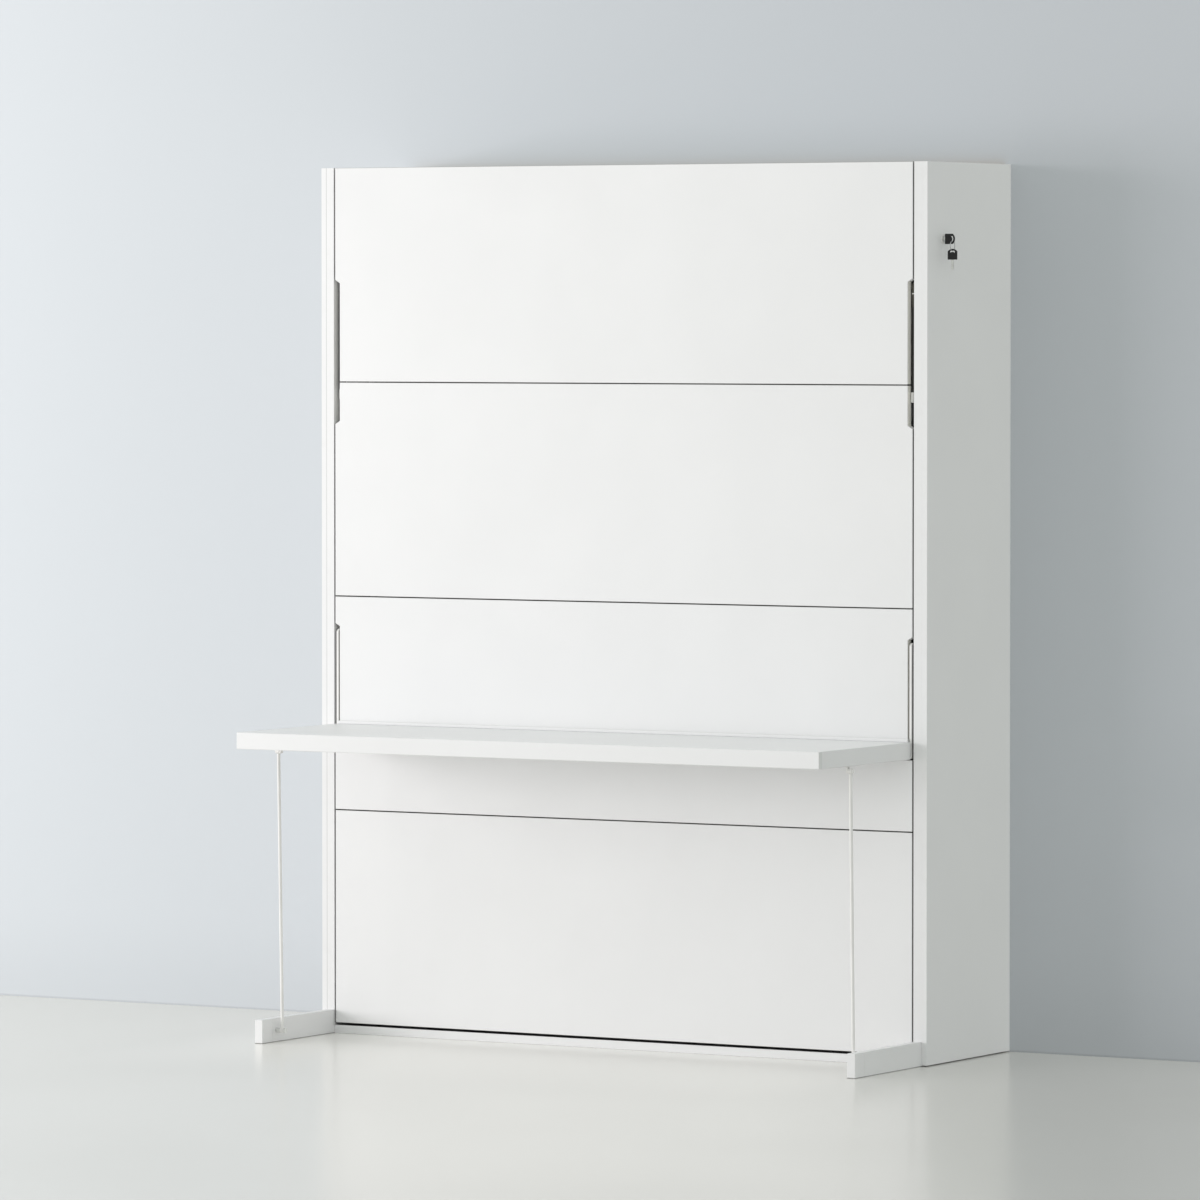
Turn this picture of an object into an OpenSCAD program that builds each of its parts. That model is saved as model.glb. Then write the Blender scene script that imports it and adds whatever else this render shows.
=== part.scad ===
// Wall bed with a desk that stays level while the bed folds down.
// Millimetres. X runs across the front, Y runs back to the wall, Z is up.
// The origin is on the floor, at the middle of the cabinet's front plane.

/* [Cabinet] */
// Overall width over the outer side panels
cabinet_w = 1664; // [1500:2:1864]
// Overall height
cabinet_h = 2100; // [1900:2:2300]
// Depth from the face of the front boards to the wall
cabinet_d = 418; // [400:2:460]
// Thickness of the outer side panels
side_t = 14; // [12:1:18]
// Gap between the side panels and the floor
floor_gap = 2.5; // [2:0.5:5]
// Thickness of the inner uprights, which carry the bed
upright_t = 21; // [18:1:24]
// Thickness of the top board
top_t = 18; // [15:1:22]
// Thickness of the back panels
back_t = 8; // [5:1:10]
// Thickness of the rails behind the back panels
back_rail_t = 20; // [16:1:25]
// Height of each back rail
back_rail_h = 120; // [100:5:150]
// Height of the base rail between the feet
base_h = 20; // [16:1:22]
// Thickness of the base rail
base_t = 18; // [15:1:20]
// Radius of the four holes for the wall bolts
wall_hole_r = 5; // [3:0.5:6]
// Distance of the wall bolts from the side panels
wall_hole_inset = 218; // [120:1:400]
// Distance between the wall bolts up the back
wall_hole_dz = 60; // [40:5:70]

/* [Feet] */
// Reach of the feet in front of the cabinet
foot_reach = 321; // [310:1:360]
// Height of the feet
foot_h = 57; // [50:1:70]
// Length of the cap on each foot
foot_cap_l = 45; // [30:1:48]

/* [Front boards] */
// Thickness of the front boards
board_t = 18; // [16:1:19]
// Gap between two boards
board_gap = 2; // [1:0.5:4]
// Gap between the boards and the uprights
side_gap = 4; // [3:0.5:5]
// Gap between the lowest board and the base rail
base_gap = 6; // [6:0.5:10]
// Width of the notches for the desk arms
arm_notch_w = 12; // [10:0.5:13]
// Width of the recesses for the legs
leg_notch_w = 13; // [12:0.5:16]
// Angle at which the ends of the notches and recesses slant
notch_slope = 31; // [15:1:34]

/* [Bed frame] */
// Width of the side rails
rail_w = 30; // [25:1:35]
// Depth of the side rails
rail_d = 50; // [46:1:54]
// Wall of the steel tubes
tube_t = 2.5; // [1.5:0.5:3]
// Space for the mechanism between a side rail and its upright
mech_gap = 27; // [27:0.5:30]
// Height of the lower end of the frame over the floor
frame_low = 120; // [112:1:124]
// Distance from the upper end of the frame to the cabinet's top
head_gap = 35; // [28:1:45]
// Distance from the outside of the frame to the mattress on each side
mattress_side = 20; // [15:1:90]
// Distance from the lower end of the frame to the mattress
mattress_low = 30; // [20:1:60]
// Distance from the mattress to the upper end of the frame
mattress_head = 15; // [10:1:60]
// Thickness of the mattress
mattress_t = 180; // [140:5:195]
// Number of pairs of slats
slat_rows = 13; // [11:1:15]
// Width of a slat
slat_w = 62; // [50:1:70]
// Thickness of a slat
slat_t = 8; // [7:1:10]
// Width of a strap over the mattress
strap_w = 40; // [25:1:50]

/* [Desk] */
// Height of the desk top over the floor
desk_h = 753; // [735:1:770]
// Thickness of the desk
desk_t = 40; // [36:1:44]
// Reach of the desk in front of the cabinet
desk_reach = 442; // [420:1:500]
// Gap between the desk's ends and the uprights
desk_side_gap = 7; // [5:0.5:9]
// Thickness of the lipping on the desk's front edge
front_lip_t = 15; // [10:1:20]
// Thickness of the lippings on the desk's ends
end_lip_t = 5; // [3:0.5:5]
// Height of the low lip along the back of the desk
rear_lip_h = 8; // [5:1:12]
// Distance from the desk's ends to the low lip
rear_lip_inset = 5; // [3:1:60]

/* [Linkage] */
// Height of the bed's pivot over the floor
bed_pivot_z = 289; // [284:1:296]
// Setback of the bed's pivot behind the front face
bed_pivot_y = 42; // [41:0.5:44]
// How far each link leans forward from bottom to top
link_lean = 15; // [12:0.5:16]
// Height of the rod's pin on the foot
foot_pin_z = 28; // [26:1:32]
// Distance of the rod's pin in front of the cabinet
foot_pin_y = 259; // [240:1:262]
// Drop of the rod's upper pin under the desk
hanger_drop = 13; // [12:0.5:16]
// Diameter of the rods
rod_d = 8; // [6:0.5:10]
// Distance from a rod's centre line to its foot's inner face
rod_inset = 17; // [16.5:0.5:18]
// Thickness of the desk arms
arm_t = 6; // [5:0.5:6]
// Depth of the desk arms from front to back
arm_w = 40; // [34:1:44]
// Diameter of the bed's pivot pins
pivot_d = 16; // [12:0.5:18]
// Diameter of the desk arms' pins
arm_pin_d = 12; // [8:0.5:12]

/* [Gas springs] */
// Distance of both spring studs from the bed's pivot
spring_r = 240; // [230:1:244]
// Angle of the upper stud, measured up from straight ahead
spring_lean = 110; // [108:0.5:114]
// Outer diameter of the spring's cylinder
spring_d = 18; // [15:0.5:18]
// Diameter of the spring's piston rod
piston_d = 8; // [6:0.5:10]
// Diameter of the spring studs
stud_d = 10; // [8:0.5:10]

/* [Legs] */
// Distance of the leg's pin under the cabinet's top, with the bed closed
leg_pin_drop = 288; // [270:1:300]
// Setback of the leg's pin behind the front face
leg_pin_y = 24; // [24:0.5:28]
// Diameter of the leg's pin
leg_pin_d = 10; // [8:0.5:10]
// Width of the leg's bar
leg_w = 18; // [15:1:20]
// Height of the pad on the leg's end
leg_pad_h = 24; // [16:1:30]

/* [Lock] */
// Distance of the lock under the cabinet's top
lock_drop = 179; // [170:1:200]
// Setback of the lock behind the front face
lock_y = 78; // [76:1:90]
// Diameter of the lock's body
lock_d = 20; // [18:0.5:24]
// Diameter of the lock's plug
plug_d = 14; // [12:0.5:15]
// Length of a key's bow
bow_l = 25; // [24:0.5:30]
// Width of a key's bow
bow_w = 24; // [20:0.5:26]
// Radius of the key ring at the middle of its wire
ring_r = 11.3; // [11.3:0.1:14]

/* [Hidden] */
$fn = 48;

// Clearances
run = 0.05; // between a pin and its bore, on the radius
soft_gap = 0.3; // around soft pieces and at rubber stops
face_gap = 1; // between the desk and the front boards
cut = 1; // how far a cutting tool runs past the surface
spring_gap = 1; // between the gas springs and the uprights
arm_gap = 2; // between the desk arms and the boards' edge
leg_gap = 4; // between the legs and the boards' edge
slat_gap = 2; // between the frame and the slats

// Sizes of small parts
plate_t = 3; // pivot plates on the uprights
plate_w = 46;
plate_h = 120;
plate_screw_dy = 12; // screws of a pivot plate from the pivot
plate_screw_dz = 48;
screw_d = 5;
screw_head_d = 10;
screw_l = 16;
crank_t = 6; // cranks on the side rails
crank_w = 46;
crank_end_w = 28; // the crank's arm, round its lower stud
crank_up = 115; // ends of a crank's plate from the bed's pivot
crank_down = 20;
boss_t = 6; // boss round each pivot pin, from the upright's face
boss_d = 40;
bush_t = 3; // wall of the pivot bushes
bush_collar = 2;
bracket_t = 4; // lighter steel brackets
bracket_l = 52;
arm_over = 22; // arm above its pin
arm_chamfer = 6;
tongue_t = 6;
rear_lip_t = 6;
leg_t = 6;
pad_w = 24; // pads on the legs' ends
pad_over = 1; // pad past the leg's inner face
notch_under = 2; // arm's notch below the desk
notch_over = 14; // arm's notch above the arm
leg_notch_over = 17; // leg's recess above the leg's pin
leg_notch_under = 61; // leg's recess below the leg's end
bolt_d = 6;
bolt_head_d = 12;
bolt_head_h = 2.5;
bolt_inset = 120; // outer board bolts from the side rails
bolt_pitch = 400; // between the outer and the inner board bolts
end_rail_h = 30;
cross_rail_h = 40;
cross_rail_d = 20;
centre_rail_w = 30;
slat_inset = 85; // first and last slat from the frame's ends
slat_end = 6; // ends of the slats from the frame's side and middle
holder_lap = 4; // slat holder past the slat's edges
eye_r = 6.5; // eyes of the rods
spring_eye_r = 10; // eyes of the gas springs
eye_w = 9;
foot_pin_l = 15; // rod's lower pin inside the foot
spring_eye_w = 10;
spring_side = spring_eye_w / 2 + 0.5; // from a gas spring's centre line to what holds its eye
cap_t = 2; // caps that keep an eye on its pin
cap_lap = 2; // cap past the pin
stud_boss_d = 36; // boss of the gas spring's upper stud
spring_end = 24; // thinner end of the gas spring's cylinder
stop_h = 28; // height of the stop blocks
stop_head = 7; // from the stop blocks to the frame's upper end
stop_w = 16; // how far the stop blocks reach behind the frame
stop_d = 20;
tongue_l = 120; // length of the arm tongues inside the desk
tongue_wall = 5; // desk left above and below a tongue
hanger_l = 24; // foot of a rod hanger along the desk
hanger_w = 40;
ear_w = 11; // ear of a rod hanger
ear_under = 5; // ear below its pin
strike_gap = 1.5; // between the lock's plug and its strike
strike_rise = 8; // from the plug to the strike's lower end
strike_h = 32;
cam_l = 26;
cam_t = 3.5;
rose_lap = 2; // lock's rose past its body
rose_t = 1.5;
nut_lap = 8;
nut_t = 4;
strap_t = 2;
strap_tab = 12;
blade_t = 2;
blade_h = 6.5;
blade_l = 24;
bow_t = 2.8;
bow_r = 15; // rounding of a bow's outer end
bow_rim = 3.4; // plastic left between a bow's slot and its edge
slot_w = 3.8;
slot_l = 13;
wire_r = 0.9;

// Planes across the width, on the right-hand side
outer_x = cabinet_w / 2;
panel_x = outer_x - side_t; // inner face of the side panel
inner_x = panel_x - upright_t; // inner face of the upright
board_x = inner_x - side_gap; // edge of the front boards
frame_x = inner_x - mech_gap; // outer face of the side rail
rail_x = frame_x - rail_w; // inner face of the side rail
rod_x = inner_x - rod_inset; // centre line of the rods
arm_x = board_x - arm_gap; // outer face of the desk arms
leg_x = [board_x - leg_gap - leg_t, board_x - leg_gap]; // both faces of the legs
mattress_w = 2 * (frame_x - mattress_side);
desk_w = 2 * (inner_x - desk_side_gap);
bolt_x = rail_x - bolt_inset; // outer board bolts
spring_x = inner_x - spring_gap - spring_d / 2; // centre line of the gas springs

// Planes from front to back
back_y = cabinet_d - back_rail_t - back_t; // rear edge of the uprights
frame_y = board_t + rail_d; // rear face of the frame
slat_y = frame_y + slat_gap; // front face of the slats
holder_d = slat_t + 2 * slat_gap; // depth of a slat holder
mattress_y = frame_y + holder_d + soft_gap;

// Heights
board_low = base_h + base_gap;
board_pitch = (cabinet_h - board_low + board_gap) / 4;
frame_high = cabinet_h - head_gap;
mattress_z = frame_low + mattress_low;
mattress_l = frame_high - mattress_head - mattress_z;
slat_pitch = (frame_high - frame_low - 2 * slat_inset) / (slat_rows - 1);
leg_pin_z = cabinet_h - leg_pin_drop;
lock_z = cabinet_h - lock_drop;
rise = desk_h - desk_t - hanger_drop - foot_pin_z; // height of both links
arm_top = bed_pivot_z + rise + arm_over;

// Pivots as [y, z], with the bed closed
bed_pivot = [bed_pivot_y, bed_pivot_z];
arm_pivot = [bed_pivot_y - link_lean, bed_pivot_z + rise];
foot_pin = [-foot_pin_y, foot_pin_z];
desk_pin = [-foot_pin_y - link_lean, foot_pin_z + rise];
spring_top = [bed_pivot_y - spring_r * cos(spring_lean), bed_pivot_z + spring_r * sin(spring_lean)];
spring_low = [bed_pivot_y, bed_pivot_z - spring_r];
leg_pin = [leg_pin_y, leg_pin_z];
lock_axis = [lock_y, lock_z];
leg_l = bed_pivot_z + leg_pin_y - bed_pivot_y; // pin to floor with the bed open

// Gas spring: both studs lie on one circle about the bed's pivot
chord_closed = 2 * spring_r * sin((spring_lean + 90) / 2);
chord_open = 2 * spring_r * sin((180 - spring_lean) / 2);
spring_tilt = atan2(spring_low[0] - spring_top[0], spring_top[1] - spring_low[1]);
piston_l = chord_open - spring_end - 8;
cylinder_l = chord_closed - piston_l + spring_end;

// Small parts
stop_z = frame_high - stop_head - stop_h;
stop_y = frame_y + cap_t + soft_gap; // front face of the stop blocks
bow_x = outer_x + 5; // near end of the key's bow
ring_x = bow_x + bow_l - bow_rim - 2.5; // plane of the key ring
ring_z = lock_z - 4.8 - ring_r; // middle of the hanging key ring
spare_top = ring_z - ring_r + wire_r + bow_rim; // top of the spare key's bow

// The pair of planes at a distance h on both sides of c
function around(c, h) = [c - h, c + h];

// A solid on the right-hand side and its mirror image on the left
module both() {
    children();
    mirror([1, 0, 0]) children();
}

// A box between pairs of planes
module slab(x, y, z) {
    translate([x[0], y[0], z[0]]) cube([x[1] - x[0], y[1] - y[0], z[1] - z[0]]);
}

// A round bar along X, through the point p = [y, z]
module bar_x(r, x, p) {
    translate([x[0], p[0], p[1]]) rotate([0, 90, 0]) cylinder(r = r, h = x[1] - x[0]);
}

// An outline drawn in Y and Z, given thickness along X
module sheet_x(x) {
    translate([x[0], 0, 0]) rotate([90, 0, 90]) linear_extrude(x[1] - x[0]) children();
}

// An outline drawn in X and Z, given thickness along Y
module sheet_y(y) {
    translate([0, y[1], 0]) rotate([90, 0, 0]) linear_extrude(y[1] - y[0]) children();
}

// ---- Cabinet ----

module side_panel() {
    slab([panel_x, outer_x], [0, cabinet_d], [floor_gap, cabinet_h]);
}

module upright() {
    difference() {
        slab([inner_x, panel_x], [0, back_y], [foot_h, cabinet_h]);
        plate_screws();
    }
}

module side_panel_left() {
    color("white") mirror([1, 0, 0]) side_panel();
}

module side_panel_right() {
    color("white") difference() {
        side_panel();
        bar_x(lock_d / 2, [panel_x - cut, outer_x + cut], lock_axis);
    }
}

module upright_left() {
    color("white") mirror([1, 0, 0]) upright();
}

module upright_right() {
    color("white") difference() {
        upright();
        bar_x(lock_d / 2, [inner_x - cut, panel_x + cut], lock_axis);
    }
}

module foot_beams() {
    color("white") both() difference() {
        slab([inner_x, panel_x], [foot_cap_l - foot_reach, back_y], [0, foot_h]);
        bar_x(rod_d / 2, [inner_x - cut, inner_x + foot_pin_l], foot_pin);
    }
}

module foot_caps() {
    color("white") both()
        slab([inner_x, panel_x], [-foot_reach, foot_cap_l - foot_reach], [0, foot_h]);
}

// Shoulder bolts that hold the rods' lower eyes
module foot_pins() {
    color("silver") both() {
        bar_x(rod_d / 2, [rod_x - eye_w / 2 - cap_t, inner_x + foot_pin_l], foot_pin);
        bar_x(rod_d / 2 + rose_lap, [rod_x + eye_w / 2 + soft_gap, inner_x], foot_pin);
        translate([rod_x - eye_w / 2 - cap_t - nut_t, foot_pin[0], foot_pin[1]])
            rotate([0, 90, 0]) cylinder(d = rod_d + 6, h = nut_t, $fn = 6);
        bar_x(rod_d / 2 + cap_lap, [rod_x - eye_w / 2 - cap_t, rod_x - eye_w / 2 - soft_gap], foot_pin);
    }
}

module top_board() {
    color("white") slab([-inner_x, inner_x], [board_t + board_gap, back_y], [cabinet_h - top_t, cabinet_h]);
}

module base_rail() {
    color("white") slab([-inner_x, inner_x], [0, base_t], [0, base_h]);
}

// Two panels that meet behind the middle back rail
module back_panels() {
    color("white") difference() {
        union() {
            slab([-panel_x, panel_x], [back_y, back_y + back_t], [0, cabinet_h / 2 - 0.5]);
            slab([-panel_x, panel_x], [back_y, back_y + back_t], [cabinet_h / 2 + 0.5, cabinet_h]);
        }
        wall_holes();
    }
}

module wall_holes() {
    for (sx = [-1, 1], sz = [-1, 1])
        translate([
            sx * (panel_x - wall_hole_inset),
            back_y - cut,
            cabinet_h - back_rail_h / 2 + sz * wall_hole_dz / 2
        ]) rotate([-90, 0, 0]) cylinder(r = wall_hole_r, h = back_t + back_rail_t + 2 * cut);
}

module back_rail(z) {
    slab([-panel_x, panel_x], [back_y + back_t, cabinet_d], [z, z + back_rail_h]);
}

module back_rail_top() {
    color("burlywood") difference() {
        back_rail(cabinet_h - back_rail_h);
        wall_holes();
    }
}

module back_rail_middle() {
    color("burlywood") back_rail((cabinet_h - back_rail_h) / 2);
}

module back_rail_bottom() {
    color("burlywood") back_rail(0);
}

// Steel plates with the pins that the bed turns on
module pivot_plates() {
    color("dimgray") both() difference() {
        union() {
            slab([inner_x - plate_t, inner_x], around(bed_pivot_y, plate_w / 2),
                 around(bed_pivot_z, plate_h / 2));
            bar_x(boss_d / 2, [inner_x - boss_t, inner_x - plate_t], bed_pivot);
            bar_x(pivot_d / 2, [frame_x - boss_t, inner_x - boss_t], bed_pivot);
        }
        plate_screws();
    }
}

// Wood screws that hold a pivot plate, with their heads flush
module plate_screws() {
    for (dy = [-plate_screw_dy, plate_screw_dy], dz = [-plate_screw_dz, plate_screw_dz]) {
        bar_x(screw_head_d / 2, [inner_x - plate_t, inner_x - plate_t / 3], bed_pivot + [dy, dz]);
        bar_x(screw_d / 2, [inner_x - plate_t / 3, inner_x + screw_l], bed_pivot + [dy, dz]);
    }
}

module bracket_screws() {
    color("silver") both() {
        plate_screws();
        for (z = [stop_z + 8, stop_z + stop_h - 8])
            bar_x(4, [frame_x - stop_w - bolt_head_h, frame_x - stop_w], [stop_y + stop_d / 2, z]);
    }
}

// Studs on the uprights for the gas springs' upper eyes
module spring_studs() {
    color("dimgray") both() {
        bar_x(stud_boss_d / 2, [spring_x + spring_side, inner_x], spring_top);
        bar_x(stud_d / 2, [spring_x - spring_side, inner_x], spring_top);
        bar_x(stud_d / 2 + cap_lap, [spring_x - spring_side - cap_t, spring_x - spring_side], spring_top);
    }
}

// Blocks on the uprights that stop the closed bed
module stop_blocks() {
    color("whitesmoke") both()
        slab([frame_x - stop_w, inner_x], [stop_y, stop_y + stop_d], [stop_z, stop_z + stop_h]);
}

module stop_bumpers() {
    color("black") both()
        translate([frame_x - stop_w / 2, stop_y - cap_t, stop_z + stop_h / 2])
            rotate([-90, 0, 0]) cylinder(d = stop_w - 2, h = cap_t);
}

// Lock body through panel and upright, with its rose outside and its nut inside
module lock_housing() {
    color("silver") difference() {
        union() {
            bar_x(lock_d / 2, [inner_x - nut_t, outer_x], lock_axis);
            bar_x(lock_d / 2 + rose_lap, [outer_x, outer_x + rose_t], lock_axis);
            translate([inner_x - nut_t, lock_y, lock_z])
                rotate([0, 90, 0]) cylinder(d = lock_d + nut_lap, h = nut_t, $fn = 6);
        }
        bar_x(plug_d / 2 + run, [inner_x - nut_t - cut, outer_x + rose_t + cut], lock_axis);
    }
}

// ---- Bed ----

// One of the four boards, counted from the floor
module front_board(i) {
    z = board_low + i * board_pitch;
    color("white") difference() {
        slab([-board_x, board_x], [0, board_t], [z, z + board_pitch - board_gap]);
        both() sheet_y([-cut, board_t + cut]) {
            arm_notch();
            leg_notch();
        }
    }
}

// Heights in an opening's slanting end, over the part x wide from the boards' edge
function slant(x) = x * tan(notch_slope);

// Opening for an arm; behind the desk it is wide enough for the tongues
module arm_notch() {
    low = desk_h - desk_t - notch_under;
    step = desk_h - face_gap;
    high = arm_top + notch_over;
    wide = arm_gap + arm_t + tongue_t + 2;
    polygon([
        [board_x - wide, low],
        [board_x + cut, low],
        [board_x + cut, high + slant(cut)],
        [board_x - arm_notch_w, high - slant(arm_notch_w)],
        [board_x - arm_notch_w, step],
        [board_x - wide, step]
    ]);
}

// Recess for a leg, which swings out through it
module leg_notch() {
    low = leg_pin_z - leg_l - leg_notch_under;
    high = leg_pin_z + leg_notch_over;
    polygon([
        [board_x - leg_notch_w, low + slant(leg_notch_w)],
        [board_x + cut, low - slant(cut)],
        [board_x + cut, high + slant(cut)],
        [board_x - leg_notch_w, high - slant(leg_notch_w)]
    ]);
}

module front_board_top() {
    front_board(3);
}

module front_board_upper() {
    front_board(2);
}

module front_board_lower() {
    front_board(1);
}

module front_board_bottom() {
    front_board(0);
}

// Rectangular tube with open ends, along the axis where walls is 0
module tube(x, y, z, walls) {
    difference() {
        slab(x, y, z);
        translate([x[0], y[0], z[0]])
            translate([for (w = walls) w == 0 ? -cut : tube_t])
                cube([
                    x[1] - x[0] - (walls[0] == 0 ? -2 * cut : 2 * tube_t),
                    y[1] - y[0] - (walls[1] == 0 ? -2 * cut : 2 * tube_t),
                    z[1] - z[0] - (walls[2] == 0 ? -2 * cut : 2 * tube_t)
                ]);
    }
}

module side_rail() {
    difference() {
        tube([rail_x, frame_x], [board_t, frame_y], [frame_low, frame_high], [1, 1, 0]);
        bar_x(pivot_d / 2 + bush_t, [frame_x - tube_t - cut, frame_x + cut], bed_pivot);
        bar_x(arm_pin_d / 2, [frame_x - tube_t - cut, frame_x + cut], arm_pivot);
        bar_x(leg_pin_d / 2, [frame_x - tube_t - cut, frame_x + cut], leg_pin);
    }
}

module side_rail_left() {
    color("dimgray") mirror([1, 0, 0]) side_rail();
}

module side_rail_right() {
    color("dimgray") side_rail();
}

// Tubes across the two ends of the frame
module end_rails() {
    color("dimgray") for (z = [frame_low, frame_high - end_rail_h])
        tube([-rail_x, rail_x], [board_t, frame_y], [z, z + end_rail_h], [0, 1, 1]);
}

function cross_z(i) = frame_low + (frame_high - frame_low) * (i + 1) / 3;

// Flat tubes behind the boards, under the centre rail
module cross_rails() {
    color("dimgray") for (i = [0, 1]) difference() {
        tube([-rail_x, rail_x], [board_t, board_t + cross_rail_d], around(cross_z(i), cross_rail_h / 2),
             [0, 1, 1]);
        board_bolt_rows(i, bolt_d / 2, board_t + cross_rail_d + cut);
    }
}

module board_bolt_rows(i, r, y1) {
    for (x = [-bolt_x, bolt_pitch - bolt_x, bolt_x - bolt_pitch, bolt_x])
        translate([x, board_t, cross_z(i)]) rotate([-90, 0, 0]) cylinder(r = r, h = y1 - board_t);
}

// Bolts that pull the boards against the cross rails
module board_bolts() {
    color("silver") for (i = [0, 1]) {
        board_bolt_rows(i, bolt_d / 2, board_t + cross_rail_d);
        translate([0, cross_rail_d, 0]) board_bolt_rows(i, bolt_head_d / 2, board_t + bolt_head_h);
    }
}

module centre_rail() {
    color("dimgray")
        tube(around(0, centre_rail_w / 2), [board_t + cross_rail_d, frame_y],
             [frame_low + end_rail_h, frame_high - end_rail_h], [1, 1, 0]);
}

function slat_z(i) = frame_low + slat_inset + i * slat_pitch;

module slat(i) {
    slab([slat_end, frame_x - slat_end], [slat_y, slat_y + slat_t], around(slat_z(i), slat_w / 2));
}

module slats() {
    color("burlywood") for (i = [0 : slat_rows - 1]) both() slat(i);
}

// Plastic caps that hold the ends of the slats
module slat_holders() {
    color("black") for (i = [0 : slat_rows - 1]) difference() {
        union() {
            both() holder([rail_x + holder_lap, frame_x - slat_gap], slat_z(i));
            holder(around(0, centre_rail_w / 2), slat_z(i));
        }
        both() slat(i);
    }
}

module holder(x, z) {
    slab(x, [frame_y, frame_y + holder_d], around(z, slat_w / 2 + holder_lap));
}

// Board across the lower end, which the mattress stands on
module mattress_stop() {
    color("white") slab([-rail_x, rail_x], [frame_y, frame_y + mattress_t * 0.65],
                        [mattress_z - 14, mattress_z - soft_gap]);
}

// One outline of the mattress, pulled in by d at the height y: rounded corners, sides drawn in
function mattress_ring(d, y) = let (
    hx = mattress_w / 2 - d,
    hz = mattress_l / 2 - d,
    r = max(70 - d, 20),
    mid = mattress_z + mattress_l / 2
) [
    for (q = [0 : 3], k = [0 : 8])
        let (
            sx = q == 0 || q == 3 ? 1 : -1,
            sz = q < 2 ? 1 : -1,
            a = q * 90 + min(k, 6) * 15,
            side = q % 2 == 0 ? hx - r : hz - r,
            t = k < 7 ? 0 : (k - 6) / 3,
            p = [sx * (hx - r) + r * cos(a), mid + sz * (hz - r) + r * sin(a)],
            move = q == 0 ? [-1, 0] : q == 1 ? [0, -1] : q == 2 ? [1, 0] : [0, 1],
            pull = q == 0 ? [0, -1] : q == 1 ? [1, 0] : q == 2 ? [0, 1] : [-1, 0],
            s = p + 2 * side * t * move + (k < 7 ? 0 : 4) * pull
        )
        [s[0], y, s[1]]
];

// Insets and heights of the outlines, from the slats to the sleeping side
mattress_rings = [
    for (p = [
        [300, 0], [90, 1], [24, 4], [6, 15], [0, 34], [5, mattress_t / 2 - 3],
        [0, mattress_t - 44], [6, mattress_t - 25], [24, mattress_t - 13], [90, mattress_t - 5],
        [300, mattress_t]
    ]) mattress_ring(p[0], mattress_y + p[1])
];

module mattress() {
    n = len(mattress_rings[0]);
    m = len(mattress_rings);
    color("whitesmoke") polyhedron(
        points = concat(
            [for (ring = mattress_rings, p = ring) p],
            [for (y = [mattress_y, mattress_y + mattress_t]) [0, y, mattress_z + mattress_l / 2]]
        ),
        faces = concat(
            [for (k = [0 : n - 1]) [m * n, (k + 1) % n, k]],
            [
                for (j = [0 : m - 2], k = [0 : n - 1], h = [0, 1])
                    let (a = j * n + k, b = j * n + (k + 1) % n)
                    h == 0 ? [a, b, a + n] : [b, b + n, a + n]
            ],
            [for (k = [0 : n - 1]) [m * n + 1, (m - 1) * n + k, (m - 1) * n + (k + 1) % n]]
        )
    );
}

// Straps over the mattress, with tabs on the side rails
module mattress_straps() {
    in_x = mattress_w / 2 + soft_gap;
    in_y = mattress_y + mattress_t + soft_gap;
    color("black") for (i = [2, slat_rows - 4])
        translate([0, 0, (slat_z(i) + slat_z(i + 1) - strap_w) / 2]) linear_extrude(strap_w) {
            difference() {
                translate([-in_x - strap_t, frame_y])
                    square([2 * (in_x + strap_t), in_y + strap_t - frame_y]);
                translate([-in_x, frame_y - cut]) square([2 * in_x, in_y - frame_y + cut]);
            }
            for (x = [-in_x - strap_t - strap_tab, in_x + strap_t])
                translate([x, frame_y]) square([strap_tab, strap_t]);
        }
}

// Plates on the side rails, with an arm down to the gas springs' lower studs
module spring_cranks() {
    color("dimgray") both() {
        difference() {
            sheet_x([frame_x, frame_x + crank_t]) union() {
                polygon([
                    bed_pivot + [1 - crank_w / 2, crank_up],
                    bed_pivot + [1 + crank_w / 2, crank_up],
                    bed_pivot + [1 + crank_w / 2, -crank_down],
                    spring_low + [crank_end_w / 2, 0],
                    spring_low + [-crank_end_w / 2, 0],
                    bed_pivot + [1 - crank_w / 2, -crank_down]
                ]);
                translate(spring_low) circle(d = crank_end_w);
            }
            bar_x(pivot_d / 2 + bush_t, [frame_x - cut, frame_x + crank_t + cut], bed_pivot);
        }
        bar_x(stud_d / 2, [frame_x + crank_t, spring_x + spring_side], spring_low);
        bar_x(stud_d / 2 + cap_lap, [spring_x + spring_side, spring_x + spring_side + cap_t], spring_low);
    }
}

// Plastic bushes between the cranks and the pivot pins
module pivot_bushes() {
    collar_x = frame_x + crank_t + bush_collar;
    color("black") both() difference() {
        union() {
            bar_x(pivot_d / 2 + bush_t, [frame_x - tube_t, frame_x + crank_t], bed_pivot);
            bar_x(pivot_d / 2 + bush_t + bush_collar, [frame_x + crank_t, collar_x], bed_pivot);
        }
        bar_x(pivot_d / 2 + run, [frame_x - tube_t - cut, collar_x + cut], bed_pivot);
    }
}

// Pins on the side rails that carry the desk arms
module arm_pins() {
    color("dimgray") both() {
        slab([frame_x, frame_x + bracket_t], [board_t + 0.5, frame_y - 4],
             around(arm_pivot[1], bracket_l / 2));
        bar_x(arm_pin_d / 2, [frame_x - tube_t, arm_x + cap_t], arm_pivot);
        bar_x(arm_pin_d / 2 + bush_t, [board_x - arm_notch_w + 0.5, arm_x - arm_t - soft_gap], arm_pivot);
    }
}

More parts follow.
